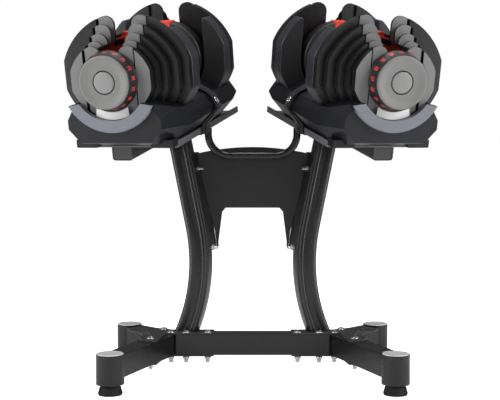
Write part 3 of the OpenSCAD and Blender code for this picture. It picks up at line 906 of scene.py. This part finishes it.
@dataclass
class Uprights:
    """The two bent, ribbed uprights with their back panel and the bent bar between the trays."""

    centre_x: float = 101.8
    plane_y: float = 34.2
    waist_z: float = 209.5
    bend_r: float = 340.0
    lean: float = 12.0
    foot_angle: float = 26.0
    straight: float = 260.0
    deck: float = 72.0
    bracket_under: float = -133.0
    yaw: float = 18.1

    def build(self) -> None:
        """Makes both uprights and what is fastened to them."""
        pattern = self.tube()
        for side in Side:
            place = Matrix.Identity(4) if side is Side.LEFT else MIRROR_X
            upright = pattern.copied(f"{side.value}_upright_tube", place)
            upright.absorb(self.head(side))
            upright.paint(Look.FRAME).hand_over(STAND, "frame_black", f"{side.value}_upright")
        pattern.put_away()
        dress("back_panel", Look.PANEL)
        dress("u_bar", Look.FRAME)
        dress("panel_bolts", Look.ZINC)

    def section(self) -> list[tuple]:
        """The tube's cross-section: a broad lobe, a groove and a narrow rib on its front."""
        front = [*arc(4.5, 180, 250, 4, (-15.5, -10.5)), (-11, -15.0), (-4, -15.0), (0.5, -14.3),
                 (3.0, -12.6), (5.0, -12.0), (6.6, -12.8), (8.2, -14.4), (10.2, -14.8), (12.2, -14.0),
                 (13.8, -12.9), (15.6, -13.4), *arc(3.0, 280, 360, 4, (17.0, -11.2))]
        back = [(20, 11), *arc(4, 0, 90, 4, (16, 11)), *arc(4, 90, 180, 4, (-16, 11))]
        return front + back[1:]

    def tube(self) -> Bench:
        """The left upright's tube, swept round its bend and up its straight stretch."""
        ring = [(x, y, self.waist_z) for x, y in self.section()]
        piece = Bench.chain("upright", ring, closed=True)
        bpy.ops.mesh.delete(type="ONLY_FACE")
        hub = mm(-self.bend_r, 0, self.waist_z)
        swing = Matrix.Rotation(math.radians(self.foot_angle), 4, "Y")
        piece.move(Matrix.Translation(hub) @ swing @ Matrix.Translation(-hub))
        piece.pick_points(lambda place: True)
        bend, lean = math.radians(self.foot_angle + self.lean), math.radians(self.lean)
        bpy.ops.mesh.spin(steps=30, angle=bend, center=hub, axis=(0, 1, 0))
        away = Vector((-math.sin(lean), 0, math.cos(lean)))
        bpy.ops.mesh.extrude_region_move(TRANSFORM_OT_translate={"value": away * self.straight * MM})
        piece.weld().close_holes().finish_normals()
        stand = Matrix.Translation(mm(-self.centre_x, self.plane_y, 0))
        piece.move(stand @ Matrix.Rotation(math.radians(-self.yaw), 4, "Z"))
        piece.trim((0, 0, self.deck), (0, 0, -1))
        seat = Side.LEFT.seat
        roof = seat @ mm(0, 0, self.bracket_under)
        piece.trim(roof / MM, seat.to_3x3() @ Vector((0, 0, 1)))
        return piece.finish_normals().smooth(28)

    def head(self, side: Side) -> Bench:
        """The plate welded on an upright's top."""
        plate = Bench.block("head", (-3, -16, self.bracket_under - 4), (59, 84, self.bracket_under))
        plate.pick_edges(lambda c, d: abs(d.z) > 0.9).bevel(6, 4)
        return plate.round_edges(0.8).move(side.bracket_seat)


@dataclass
class Brackets:
    """The sheet-steel brackets under the trays, their arms and their screws."""

    arm_low: Point = (-46, -116, -161)
    arm_high: Point = (-6, 184, -133)

    def build(self) -> None:
        """Dresses the brackets, arms and screws."""
        for side in Side:
            dress(f"{side.value}_tray_bracket", Look.BRACKET)
        dress("bracket_bolts", Look.ZINC)
        self.arms()

    def arms(self) -> None:
        """The support arms: square tubes with rounded corners and a pressed-in end plug."""
        sets = []
        for side in Side:
            arm = Bench.block("arm", self.arm_low, self.arm_high)
            arm.pick_edges(lambda c, d: abs(d.y) > 0.9).bevel(5.5, 5)
            arm.pick_faces(lambda c, n: abs(n.y) > 0.9).inset(2.2, 0.0).inset(0.4, -1.2)
            sets.append(arm.round_edges(0.6).move(side.bracket_seat))
        Bench.joined("support_arm_set", sets).paint(Look.ARM).hand_over(STAND, "frame_black", "support_arms")


# ---- Tray --------------------------------------------------------------------


@dataclass
class Tray:
    """A moulded tray: stepped wells, a round saddle at each end, pads and the blank label strips."""

    base: float = -130.0
    half: float = 193.0
    saddle_r: float = 70.0
    rim_r: float = 91.5
    saddle_t: float = 12.0
    well_gap: float = 1.5
    lap: float = 0.5
    chin: float = 111.0
    chin_slope: float = 16.0
    side_cuts: Sequence[Point] = ((89, -193, 81, -22), (111, -112, 172, -9), (104, 193, 17, 16))
    lower_corner: Sequence[Point] = ((88, -88), (0.723, 0.253, -0.643))
    upper_corner: Sequence[Point] = ((72, -45), (0.781, 0.344, 0.521))
    pad_at: Sequence[float] = (-94.0, 52.0)
    pad_y: float = -159.0
    label_inner_r: float = 55.6
    label_outer_r: float = 69.3
    label_half: float = 33.0
    label_t: float = 0.7
    trough_low: Point = (-52, -70, -76)
    trough_high: Point = (52, 70, 10)

    def outline(self) -> list[tuple]:
        """Cross-section of the body."""
        right = [(84, self.base), (86, -119), (120, -86), (118, -80), (104, -58), (60, -36)]
        return right + [(-x, z) for x, z in reversed(right)]

    def build(self, plates: "Plates") -> None:
        """Makes the tray once and sets it in both seats."""
        pattern = self.body(plates)
        for side in Side:
            tray = pattern.copied(f"{side.value}_tray_moulding", side.seat)
            tray.hand_over(STAND, "tray_plastic", f"{side.value}_tray")
        pattern.put_away()
        self.labels()

    def body(self, plates: "Plates") -> Bench:
        """The tray's body with its wells, saddles and pads."""
        body = Bench.slab("tray", in_xz(self.outline(), -self.half), (0, 2 * self.half, 0))
        for x, y, nx, ny in self.side_cuts:
            for side in (-1, 1):
                body.trim((side * x, y, 0), (side * nx, ny, 0))
        slope = math.radians(self.chin_slope)
        for end in (-1, 1):
            body.trim((0, end * self.half, -self.chin), (0, end * math.sin(slope), -math.cos(slope)))
            for side in (-1, 1):
                for (x, z), (nx, ny, nz) in (self.lower_corner, self.upper_corner):
                    body.trim((side * x, end * self.half, z), (side * nx, end * ny, nz))
        body.finish_normals()
        for x in self.pad_at:
            body.combine("UNION", self.pad(x, self.pad_y))
        for end in End:
            body.combine("UNION", self.saddle().move(end.turn))
            for well in self.wells(plates):
                body.combine("DIFFERENCE", well.move(end.turn))
        trough = Bench.block("trough", self.trough_low, self.trough_high)
        trough.pick_edges(lambda c, d: abs(d.y) > 0.9 and c.z < 0).bevel(14, 4)
        body.combine("DIFFERENCE", trough)
        body.apply("DECIMATE", decimate_type="DISSOLVE", angle_limit=math.radians(0.4))
        body.round_edges(1.1, 2, 14)
        body.paint(Look.TRAY, Look.SADDLE)
        crescent = self.half * MM + 0.004
        return body.paint_faces(1, lambda c, n: abs(c.y) > crescent)

    def pad(self, x: float, y: float) -> Bench:
        """A foot pad under the tray, with a rounded lower edge."""
        pad = Bench.block("pad", (x, y, self.base + 2), (x + 42, y + 25, self.base + 17))
        pad.pick_edges(lambda c, d: c.z < (self.base + 3) * MM).bevel(3, 3)
        return pad.rest()

    def saddle(self) -> Bench:
        """The crescent round the dial, with blunt tips."""
        inner = arc(self.saddle_r, -146, -34, 28)
        outer = arc(self.rim_r, -28, -152, 30)
        near = -self.half - self.saddle_t
        ring = Bench.slab("saddle", in_xz(inner + outer, near), (0, self.saddle_t + 6, 0))
        front = near * MM + 1e-5
        outside = (self.rim_r - 1.5) * MM
        ring.pick_edges(lambda c, d: c.y < front and math.hypot(c.x, c.z) > outside).bevel(4, 3)
        return ring.rest()

    def wells(self, plates: "Plates") -> list[Bench]:
        """What is cut out of the body for each plate at the front end; the wider well laps its neighbour."""
        starts = [plates.front_y(index) - 1 for index in range(6)]
        ends = [start + self.lap for start in starts[1:5]] + [starts[5], -plates.inner_face]
        starts[0] -= 3
        starts[5] -= self.lap
        return [
            Bench.slab("well", in_xz(plates.lens(index, self.well_gap), near), (0, far - near, 0))
            for index, (near, far) in enumerate(zip(starts, ends))
        ]

    def labels(self) -> None:
        """Blank white strips below the dials."""
        edges = arc(self.label_inner_r, -142, -38, 16) + arc(self.label_outer_r, -35, -145, 24)
        outline = [(x, z) for x, z in edges if abs(x) < self.label_half]
        near = -self.half - self.label_t
        strips = []
        for side in Side:
            for end in End:
                strip = Bench.slab("label", in_xz(outline, near), (0, self.label_t, 0))
                strips.append(strip.round_edges(0.2, 1).move(side.seat @ end.turn))
        whole = Bench.joined("tray_label_set", strips)
        whole.paint(Look.LABEL).hand_over(STAND, "label_white", "tray_labels")


@dataclass
class Strap:
    """Two crossing bands of webbing down each side of a tray, with a metal eyelet and a loop."""

    width: float = 25.0
    thickness: float = 1.7
    middle_y: float = 14.0
    swing: float = 17.0
    crossing: float = 0.42
    lays: Sequence[float] = (0.2, 1.9)
    side_tilt: float = 60.4

    def build(self) -> None:
        """Makes the straps and eyelets of both trays."""
        eyelets = []
        for side in Side:
            bands = [self.band(across, lay) for across in (-1, 1) for lay in (-1, 1)]
            loops = [self.keeper(across) for across in (-1, 1)]
            strap = Bench.joined(f"{side.value}_strap_webbing", bands + loops)
            strap.move(side.seat).paint(Look.WEBBING).hand_over(STAND, "webbing", f"{side.value}_strap")
            eyelets += [self.eyelet(across).move(side.seat) for across in (-1, 1)]
        whole = Bench.joined("strap_eyelet_set", eyelets)
        whole.paint(Look.ZINC).hand_over(STAND, "zinc", "strap_eyelets")

    def route(self, lift: float) -> list[tuple]:
        """The band's path down the tray's side and under its bracket, in X and Z."""
        top = [(66, -36.5 + lift), (84, -45.5 + lift), (103.5 + lift * 0.4, -56.2 + lift)]
        slope = [(107.0 + lift, -60.6 + lift * 0.5), (113.6 + lift, -71.5 + lift * 0.3)]
        edge = [(119.4 + lift, -81.4), (121.2 + lift, -84.6), (120.4 + lift, -87.4)]
        under = [(113.0 + lift, -95.2 - lift), (103.0 + lift, -105.2 - lift), (94.0 + lift, -114.4 - lift)]
        turn = [(92.4 + lift, -118.5), (92.2 + lift, -131.5), (90.4 + lift, -134.6 - lift)]
        tuck = [(84, -135.2 - lift), (74, -135.2 - lift)]
        return top + slope + edge + under + turn + tuck

    def band(self, across: int, lay: int) -> Bench:
        """One band: across picks the side, and lay the way it leans and which one is on top."""
        points = [(across * x, 0, z) for x, z in self.route(self.lays[lay > 0])]
        band = Bench.chain("band", points)
        lengths = self.along(points)
        band.extrude(0, self.width, 0)
        band.rest()
        mesh = band.obj.data
        share = {(round(x, 3), round(z, 3)): run for (x, _, z), run in zip(points, lengths)}
        uv = mesh.uv_layers.new(name="weave")
        runs = []
        for vertex in mesh.vertices:
            run = share[(round(vertex.co.x / MM, 3), round(vertex.co.z / MM, 3))]
            runs.append((vertex.co.y, run * MM))
            lean = lay * self.swing * (run / lengths[-1] - self.crossing)
            vertex.co.y += (self.middle_y - self.width / 2 + lean) * MM
        for loop in mesh.loops:
            uv.data[loop.index].uv = runs[loop.vertex_index]
        band.finish_normals()
        band.apply("SOLIDIFY", thickness=self.thickness * MM, offset=0.0, use_even_offset=True)
        band.apply("BEVEL", width=0.4 * MM, segments=2, limit_method="ANGLE", angle_limit=math.radians(60))
        return band.smooth(50)

    @staticmethod
    def along(points: Sequence[Point]) -> list[float]:
        """The distance from the start to each point."""
        lengths = [0.0]
        for near, far in zip(points, points[1:]):
            lengths.append(lengths[-1] + (Vector(far) - Vector(near)).length)
        return lengths

    def frame_at(self, across: int, x: float, z: float) -> Matrix:
        """A frame on the tray's slanted side, with Z out of the surface."""
        place = Matrix.Translation(mm(across * x, self.middle_y, z))
        return place @ Matrix.Rotation(across * math.radians(self.side_tilt), 4, "Y")

    def keeper(self, across: int) -> Bench:
        """A loop of webbing that holds the two bands where they cross."""
        loop = Bench.block("keeper", (-5.5, -13.5, -1.6), (5.5, 13.5, 4.2))
        loop.pick_faces(lambda c, n: abs(n.x) > 0.9).inset(1.3, 0.0)
        bpy.ops.mesh.bridge_edge_loops()
        loop.finish_normals().round_edges(0.6)
        loop.move(self.frame_at(across, 110.0, -64.6))
        if not loop.obj.data.uv_layers:
            loop.obj.data.uv_layers.new(name="weave")
        loop.obj.data.uv_layers[0].name = "weave"
        return loop

    def eyelet(self, across: int) -> Bench:
        """A rolled metal eyelet."""
        ring = Bench.turned("eyelet", [(3.6, 0), (6.4, 0), (6.9, 0.6), (6.2, 1.5), (4.9, 1.9), (3.7, 1.5),
                                       (3.3, 0.6), (3.6, 0)], sides=40)
        ring.move(UPRIGHT).smooth(50)
        return ring.move(self.frame_at(across, 117.4, -72.6) @ Matrix.Translation(mm(0, 0, 1.6)))


# ---- Dumbbells ---------------------------------------------------------------


@dataclass
class Plates:
    """The twelve weight plates of a dumbbell: six at each end, the innermost one thick."""

    half_widths: Sequence[float] = (75.5, 82.0, 93.0, 107.5, 121.5, 121.5)
    first_y: float = -190.0
    pitch: float = 17.0
    thickness: float = 15.5
    inner_thickness: float = 35.5
    inner_face: float = 69.5
    notch_r: float = 17.0
    ear_r: float = 17.0
    ear_x: float = 46.0
    slit: float = 3.6
    ear_step: float = 3.6
    pocket_r: float = 44.0
    window_r: float = 61.0
    guard_slot: float = 79.0
    slit_depth: float = 10.0
    pocket_depth: float = 6.0
    cutter_half: float = 160.0

    def build(self) -> None:
        """Makes each plate once and sets it at both ends of both dumbbells."""
        for index in range(6):
            pattern = self.inner_plate() if index == 5 else self.outer_plate(index)
            for side in Side:
                front, rear = (pattern.copied("plate", side.seat @ end.turn) for end in End)
                front.absorb(rear)
                front.obj.name = front.obj.data.name = f"{side.value}_plate_{index + 1}_cover"
                front.hand_over(side.plate_body, "plate_grey", f"{side.value}_plate_{index + 1}")
            pattern.put_away()

    def front_y(self, index: int) -> float:
        """Where a front-end plate's outer face lies."""
        return self.first_y + index * self.pitch

    def radius(self, index: int, grow: float = 0.0) -> float:
        """Radius of the two arcs of a plate's outline."""
        return 1.07 * self.half_widths[index] + grow

    def drop(self, index: int) -> float:
        """How far the arcs' centres lie from the axis."""
        return 0.165 * self.half_widths[index]

    def lens(self, index: int, grow: float = 0.0) -> list[tuple]:
        """A plate's whole outline: two arcs and two straight sides."""
        radius, drop = self.radius(index, grow), self.drop(index)
        reach = math.degrees(math.acos((self.half_widths[index] + grow) / radius))
        upper = arc(radius, reach, 180 - reach, 56, (0, -drop))
        return upper + arc(radius, 180 + reach, 360 - reach, 56, (0, drop))

    def notched(self, index: int, notch: float, corner: float) -> list[tuple]:
        """The outline with a round-bottomed notch from the top, its upper corners rounded."""
        radius, drop = self.radius(index), self.drop(index)
        reach = math.degrees(math.acos(self.half_widths[index] / radius))
        inner_x = notch + corner
        inner_z = math.sqrt((radius - corner) ** 2 - inner_x ** 2) - drop
        meet = math.degrees(math.atan2(inner_z + drop, inner_x))
        right = arc(radius, reach, meet, 26, (0, -drop)) + arc(corner, meet, 180, 9, (inner_x, inner_z))[1:]
        bottom = arc(notch, 0, -180, 18)
        left = [(-x, z) for x, z in reversed(right)]
        return right + bottom + left + arc(radius, 180 + reach, 360 - reach, 56, (0, drop))

    def outer_plate(self, index: int) -> Bench:
        """A plate with recessed ears beside the notch and a pocket behind for the selector disc."""
        near, back = self.front_y(index), self.front_y(index) + self.thickness
        outline = in_xz(self.notched(index, self.notch_r, self.ear_r), near)
        plate = Bench.slab("plate", outline, (0, self.thickness, 0))
        inner, edge, tall = self.ear_x, self.ear_x + self.slit, self.cutter_half
        ears = Bench.block("ears", (-edge, near - 5, -tall), (edge, near + self.ear_step, tall))
        plate.combine("DIFFERENCE", ears)
        for low, high in ((-edge, -inner), (inner, edge)):
            slit = Bench.block("slit", (low, near - 6, -tall), (high, near + self.slit_depth, tall))
            plate.combine("DIFFERENCE", slit)
        pocket = arc(self.pocket_r, 0, -180, 36) + [(-self.pocket_r, 180), (self.pocket_r, 180)]
        cut = in_xz(pocket, back - self.pocket_depth)
        plate.combine("DIFFERENCE", Bench.slab("pocket", cut, (0, self.pocket_depth + 2, 0)))
        if index > 0:
            window = Bench.drum("window", self.window_r, (0, near - 5, 0), (0, 40, 0), 96)
            plate.combine("DIFFERENCE", window)
        plate.round_edges(1.3 if index < 4 else 1.8, 2, 30)
        # Painted shade: edges, slit floors, pocket, back and the inner plates' wing fronts take the
        # near-black rim material in place of the shade they fall in.
        plate.paint(Look.PLATE, Look.RIM)
        front, step = (near + self.ear_step + 0.6) * MM, (near + 0.4) * MM

        def dark(centre: Vector, normal: Vector) -> bool:
            """Whether a face gets the painted shade: an edge, a face deeper than the ears (slit floor,
            pocket, back), or the front of an inner plate's wing.
            """
            wing = index > 0 and centre.y < step and abs(centre.x) > self.ear_x * MM
            return abs(normal.y) < 0.55 or centre.y > front or wing

        return plate.paint_faces(1, dark)

    def inner_plate(self) -> Bench:
        """The thick inner plate, open at the top for the round guard."""
        outline = in_xz(self.notched(5, self.guard_slot, 5.0), self.front_y(5))
        plate = Bench.slab("plate", outline, (0, self.inner_thickness, 0))
        plate.round_edges(2.2, 3, 30)
        # Painted shade: the flat faces take the dark shadow material, and the rims keep the satin band.
        plate.paint(Look.BAND, Look.SHADOW)
        return plate.paint_faces(1, lambda c, n: abs(n.y) > 0.75)


@dataclass
class DialSet:
    """One selector dial: its dished face, the ring of numerals behind it and its cam discs."""

    face_y: float = -220.0
    ring_front: float = -217.2
    ring_back: float = -191.4
    ring_front_r: float = 47.3
    ring_back_r: float = 52.8
    settings: int = 17
    first_number: int = 10
    number_step: int = 5
    digit_height: float = 7.2
    digit_share: float = 0.70
    tube_r: Sequence[float] = (12.1, 15.0)
    tube_y: Sequence[float] = (-199.9, -98.6)
    cam_r: float = 41.5
    cam_t: float = 3.8
    cam_bore_r: float = 14.6
    scallop_pitch: float = 60.0
    scallop_width: float = 24.0
    scallop_depth: float = 3.2

    def build(self, plates: Plates) -> None:
        """Makes a dial set and places it at both ends of both handles."""
        face, ring, numerals, selector = self.face(), self.ring(), self.numerals(), self.selector(plates)
        for side in Side:
            for end in End:
                place, lead = side.seat @ end.turn, f"{side.value}_{end.value}"
                body = lead + "_dial_set"
                face.copied(lead + "_dial_face", place).hand_over(body, "dial_grey", lead + "_dial")
                ring.copied(lead + "_number_ring", place).hand_over(body, "ring_black", lead + "_ring")
                numerals.copied(lead + "_numerals", place).hand_over(body, "index_red")
                cams = selector.copied(lead + "_selector_cams", place)
                cams.hand_over(body, "selector_black", lead + "_selector")
        for pattern in (face, ring, numerals, selector):
            pattern.put_away()

    def face(self) -> Bench:
        """The dial's grey face: a raised rim, a dished slope and a flat round the cap."""
        y = self.face_y
        profile = [(21.0, y + 9), (21.0, y + 2.9), (21.4, y + 2.5), (31, y + 2.5), (32.2, y + 2.35),
                   (41.6, y + 0.35), (42.8, y), (44.8, y), (46.0, y + 0.4), (46.7, y + 1.4),
                   (46.9, y + 3), (46.9, y + 9), (21.0, y + 9)]
        return Bench.turned("face", profile, 128).smooth(24).paint(Look.DIAL)

    def ring(self) -> Bench:
        """The black cone behind the face, with a small lip at each edge."""
        front, back = self.ring_front, self.ring_back
        near, far = self.ring_front_r, self.ring_back_r
        profile = [(30, front + 6), (47.0, front + 6), (47.0, front), (near + 0.3, front),
                   (near + 0.9, front + 0.9), (near + 0.7, front + 1.8), (far - 0.9, back - 2.4),
                   (far, back - 1.4), (far, back - 0.5), (far - 0.6, back), (30, back), (30, front + 6)]
        return Bench.turned("ring", profile, 128).smooth(24).paint(Look.RING)

    def numerals(self) -> Bench:
        """Raised numbers round the cone, one for each setting."""
        slope = math.atan2(self.ring_back_r - self.ring_front_r, self.ring_back - self.ring_front)
        middle_y = (self.ring_front + self.ring_back) / 2 + 0.4
        radius = (self.ring_front_r + self.ring_back_r) / 2 - 0.25
        lie = Matrix(((0, 0, 1), (1, 0, 0), (0, 1, 0))).to_4x4()
        lean = Matrix.Rotation(-slope, 4, "Z")
        out = Matrix.Translation(mm(radius, middle_y, 0))
        pieces = []
        for index in range(self.settings):
            label = str(self.first_number + self.number_step * index)
            number = Bench.raised_text("numeral", label, self.digit_height / self.digit_share, 0.45)
            spin = Matrix.Rotation(math.radians(90 - 360 * index / self.settings), 4, "Y").inverted()
            pieces.append(number.move(spin @ out @ lean @ lie))
        return Bench.joined("numerals", pieces).weld().rest().paint(Look.NUMERAL)

    def selector(self, plates: Plates) -> Bench:
        """The selector's tube with one scalloped cam disc for each outer plate."""
        (bore, wall), (near, far) = self.tube_r, self.tube_y
        profile = [(bore, near), (wall, near), (wall, far), (bore, far), (bore, near)]
        tube = Bench.turned("selector", profile, 48)
        discs = []
        for index in range(5):
            y = plates.front_y(index) + plates.thickness - 5
            disc = Bench.drum("cam", self.cam_r, (0, y, 0), (0, self.cam_t, 0), 72)
            disc.combine("DIFFERENCE", Bench.drum("bore", self.cam_bore_r, (0, y - 2, 0), (0, 8, 0), 40))
            disc.pick_faces(lambda c, n: abs(n.y) < 0.3 and math.hypot(c.x, c.z) > 0.04
                            and math.degrees(math.atan2(c.z, c.x)) % self.scallop_pitch < self.scallop_width)
            shrink = {"value": -self.scallop_depth * MM}
            bpy.ops.mesh.extrude_region_shrink_fatten(TRANSFORM_OT_shrink_fatten=shrink)
            discs.append(disc.finish_normals().round_edges(0.35, 1))
        return tube.smooth().absorb(*discs).paint(Look.SELECTOR)


@dataclass
class Handle:
    """The grip, the steel core with its round guards, the red index pieces and the end caps."""

    guard_r: float = 72.0
    guard_near: float = -98.0
    guard_far: float = -69.2
    tab_half: float = 13.6
    index_r: float = 66.0
    index_y: Sequence[float] = (-103.7, -98.4)
    mark_r: Sequence[float] = (53.0, 62.5)
    mark_span: Sequence[float] = (6.0, 27.0)
    bar_half: float = 212.8
    grip_rings: int = 41
    ring_pitch: float = 2.9

    def build(self) -> None:
        """Makes a handle and sets it in both trays."""
        grip, core, index, caps = self.grip(), self.core(), self.index(), self.caps()
        for side in Side:
            body, lead = side.handle_body, side.value
            grip.copied(lead + "_grip_sleeve", side.seat).hand_over(body, "grip_rubber", lead + "_grip")
            core.copied(lead + "_core_and_guards", side.seat).hand_over(body, "core_black", lead + "_core")
            index.copied(lead + "_index_pieces", side.seat).hand_over(body, "index_red", lead + "_index")
            caps.copied(lead + "_end_cap_pair", side.seat).hand_over(body, "dial_grey", lead + "_end_caps")
        for pattern in (grip, core, index, caps):
            pattern.put_away()

    def both_ends(self, piece: Bench) -> Bench:
        """Joins a front-end piece with its copy at the rear."""
        return piece.absorb(piece.copied("rear", End.REAR.turn))

    def grip(self) -> Bench:
        """A rubber sleeve, thickest at its middle, with fine rings along it."""
        profile = [(12.2, -68.8), (19.8, -68.8), (20.0, -67), (19.4, -64.8), (16.4, -60.5)]
        for step in range(self.grip_rings):
            y = -58.0 + step * self.ring_pitch
            swell = 17.3 - 1.5 * (y / 62.0) ** 2
            profile += [(swell, y - 0.75), (swell - 0.7, y), (swell, y + 0.75)]
        profile += [(16.4, 60.5), (19.4, 64.8), (20.0, 67), (19.8, 68.8), (12.2, 68.8), (12.2, -68.8)]
        return Bench.turned("grip", profile, 64).smooth(40).paint(Look.GRIP)

    def core(self) -> Bench:
        """The round bar and the two guards, each with a window for the red tab."""
        near, far, rim = self.guard_near, self.guard_far, self.guard_r
        guard = Bench.turned("guard", [(11.9, near), (60, near), (70.5, near + 1), (rim, near + 2.6),
                                       (rim, far - 2.6), (70.5, far - 0.8), (66, far), (30, far),
                                       (26, far - 3), (11.9, far - 3), (11.9, near)], 128)
        half = self.tab_half + 0.3
        window = Bench.block("window", (-half, near - 2, rim - 16), (half, far + 2, 100))
        guard.combine("DIFFERENCE", window).smooth(30)
        core = self.both_ends(guard)
        end = self.bar_half
        bar = Bench.turned("bar", [(0, -end), (11.2, -end), (11.95, 0.8 - end), (11.95, end - 0.8),
                                   (11.2, end), (0, end)], 64)
        return core.absorb(bar.smooth()).paint(Look.CORE)

    def index(self) -> Bench:
        """The red disc before each guard, with dark radial marks, and the red tab in its window."""
        (near, far), edge = self.index_y, self.index_r
        disc = Bench.turned("index", [(16, near), (edge - 1, near), (edge, near + 0.9), (edge, far),
                                      (16, far), (16, near)], 128).smooth(30)
        tab = Bench.block("tab", (-self.tab_half, self.guard_near, self.guard_r - 16),
                          (self.tab_half, self.guard_far, self.guard_r + 1))
        tab.pick_edges(lambda c, d: abs(d.y) > 0.9 and c.z > self.guard_r * MM).bevel(2, 3)
        tab.round_edges(0.8)
        disc.paint(Look.RED)
        tab.paint(Look.RED)
        disc.absorb(tab)
        low, high = self.mark_span
        for side in (-1, 1):
            inner = arc(self.mark_r[0], 90 + side * low, 90 + side * high, 8)
            outer = arc(self.mark_r[1], 90 + side * high, 90 + side * low, 8)
            mark = Bench.slab("mark", in_xz(inner + outer, near - 0.3), (0, 0.6, 0))
            disc.absorb(mark.paint(Look.RING))
        return self.both_ends(disc)

    def caps(self) -> Bench:
        """The grey caps on the core's ends, gently crowned."""
        cap = Bench.turned("cap", [(0, -219.5), (10, -219.3), (16, -218.9), (18.2, -218.4), (19.1, -217.2),
                                   (19.1, -213), (0, -213)], 96)
        return self.both_ends(cap.smooth(24).paint(Look.END_CAP))


# ---- Studio ------------------------------------------------------------------


@dataclass
class Studio:
    """Pale floor, soft lights and the camera."""

    camera_at: Point = (-0.0051, -2.1163, 0.4511)
    camera_down: float = 0.056
    lens: float = 79.24
    aim: Point = (0.0, 0.0, 0.4)
    sky_felt: float = 0.10

    def build(self) -> None:
        """Sets up the floor, the lights, the sky and the camera."""
        bpy.context.scene.view_settings.view_transform = "Standard"
        self.floor()
        self.sky()
        self.softbox("key_left", (-1.9, -1.3, 1.3), 1.1, 25.0)
        self.softbox("key_right", (1.9, -1.3, 1.3), 1.1, 25.0)
        self.softbox("top", (0.0, 0.2, 2.2), 1.4, 24.0)
        self.softbox("fill", (0.0, -2.6, 1.0), 1.2, 3.0)
        self.softbox("strip_left", (-1.5, -0.7, 0.5), 0.25, 9.0, 1.8)
        self.softbox("strip_right", (1.5, -0.7, 0.5), 0.25, 9.0, 1.8)
        self.camera()

    def camera(self) -> None:
        """Puts the camera at its place."""
        data = bpy.data.cameras.new("camera")
        data.lens, data.sensor_width = self.lens, 36.0
        camera = bpy.data.objects.new("camera", data)
        camera.location = self.camera_at
        camera.rotation_euler = (math.pi / 2 - self.camera_down, 0, 0)
        bpy.context.scene.collection.objects.link(camera)
        bpy.context.scene.camera = camera

    def floor(self) -> None:
        """A wide, matt, nearly white floor."""
        floor = Bench("floor", bpy.ops.mesh.primitive_plane_add, size=60.0)
        graph = Graph("floor_white")
        grey = graph.noise(graph.coordinates(), 3.0, 2.0)
        colour = graph.tint(grey, (0.93, 0.93, 0.93), (0.95, 0.95, 0.95))
        seen = graph.field("ShaderNodeLightPath", output="Is Camera Ray")
        glow = graph.tint(seen, (0.05, 0.05, 0.05), (1.0, 1.0, 1.0))
        fixed = {"Roughness": 0.9, "Emission Strength": 1.0}
        floor.obj.data.materials.append(graph.surface({"Base Color": colour, "Emission Color": glow}, fixed))

    def sky(self) -> None:
        """A white surround, dimmer to the object than to the eye."""
        world = bpy.data.worlds.new("surround")
        bpy.context.scene.world = world
        world.use_nodes = True
        nodes, links = world.node_tree.nodes, world.node_tree.links
        nodes.clear()
        path = nodes.new("ShaderNodeLightPath")
        seen, felt = (nodes.new("ShaderNodeBackground") for _ in range(2))
        seen.inputs["Strength"].default_value = 1.0
        felt.inputs["Strength"].default_value = self.sky_felt
        for background in (seen, felt):
            background.inputs["Color"].default_value = (1, 1, 1, 1)
        mix, out = nodes.new("ShaderNodeMixShader"), nodes.new("ShaderNodeOutputWorld")
        links.new(path.outputs["Is Camera Ray"], mix.inputs["Fac"])
        links.new(felt.outputs[0], mix.inputs[1])
        links.new(seen.outputs[0], mix.inputs[2])
        links.new(mix.outputs[0], out.inputs["Surface"])

    def softbox(self, name: str, place: Point, size: float, power: float, height: float = 0.0) -> None:
        """A soft light that faces the dumbbells: square, or a strip with a height of its own."""
        data = bpy.data.lights.new(name, "AREA")
        data.shape = "RECTANGLE"
        data.size, data.size_y, data.energy = size, height or size, power
        light = bpy.data.objects.new(name, data)
        light.location = place
        towards = Vector(self.aim) - Vector(place)
        light.rotation_euler = towards.to_track_quat("-Z", "Y").to_euler()
        bpy.context.scene.collection.objects.link(light)


def main() -> None:
    """Builds every sub-assembly in order."""
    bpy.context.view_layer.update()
    plates = Plates()
    Studio().build()
    Base().build()
    Uprights().build()
    Brackets().build()
    Tray().build(plates)
    Strap().build()
    plates.build()
    DialSet().build(plates)
    Handle().build()


if __name__ == "__main__":
    main()
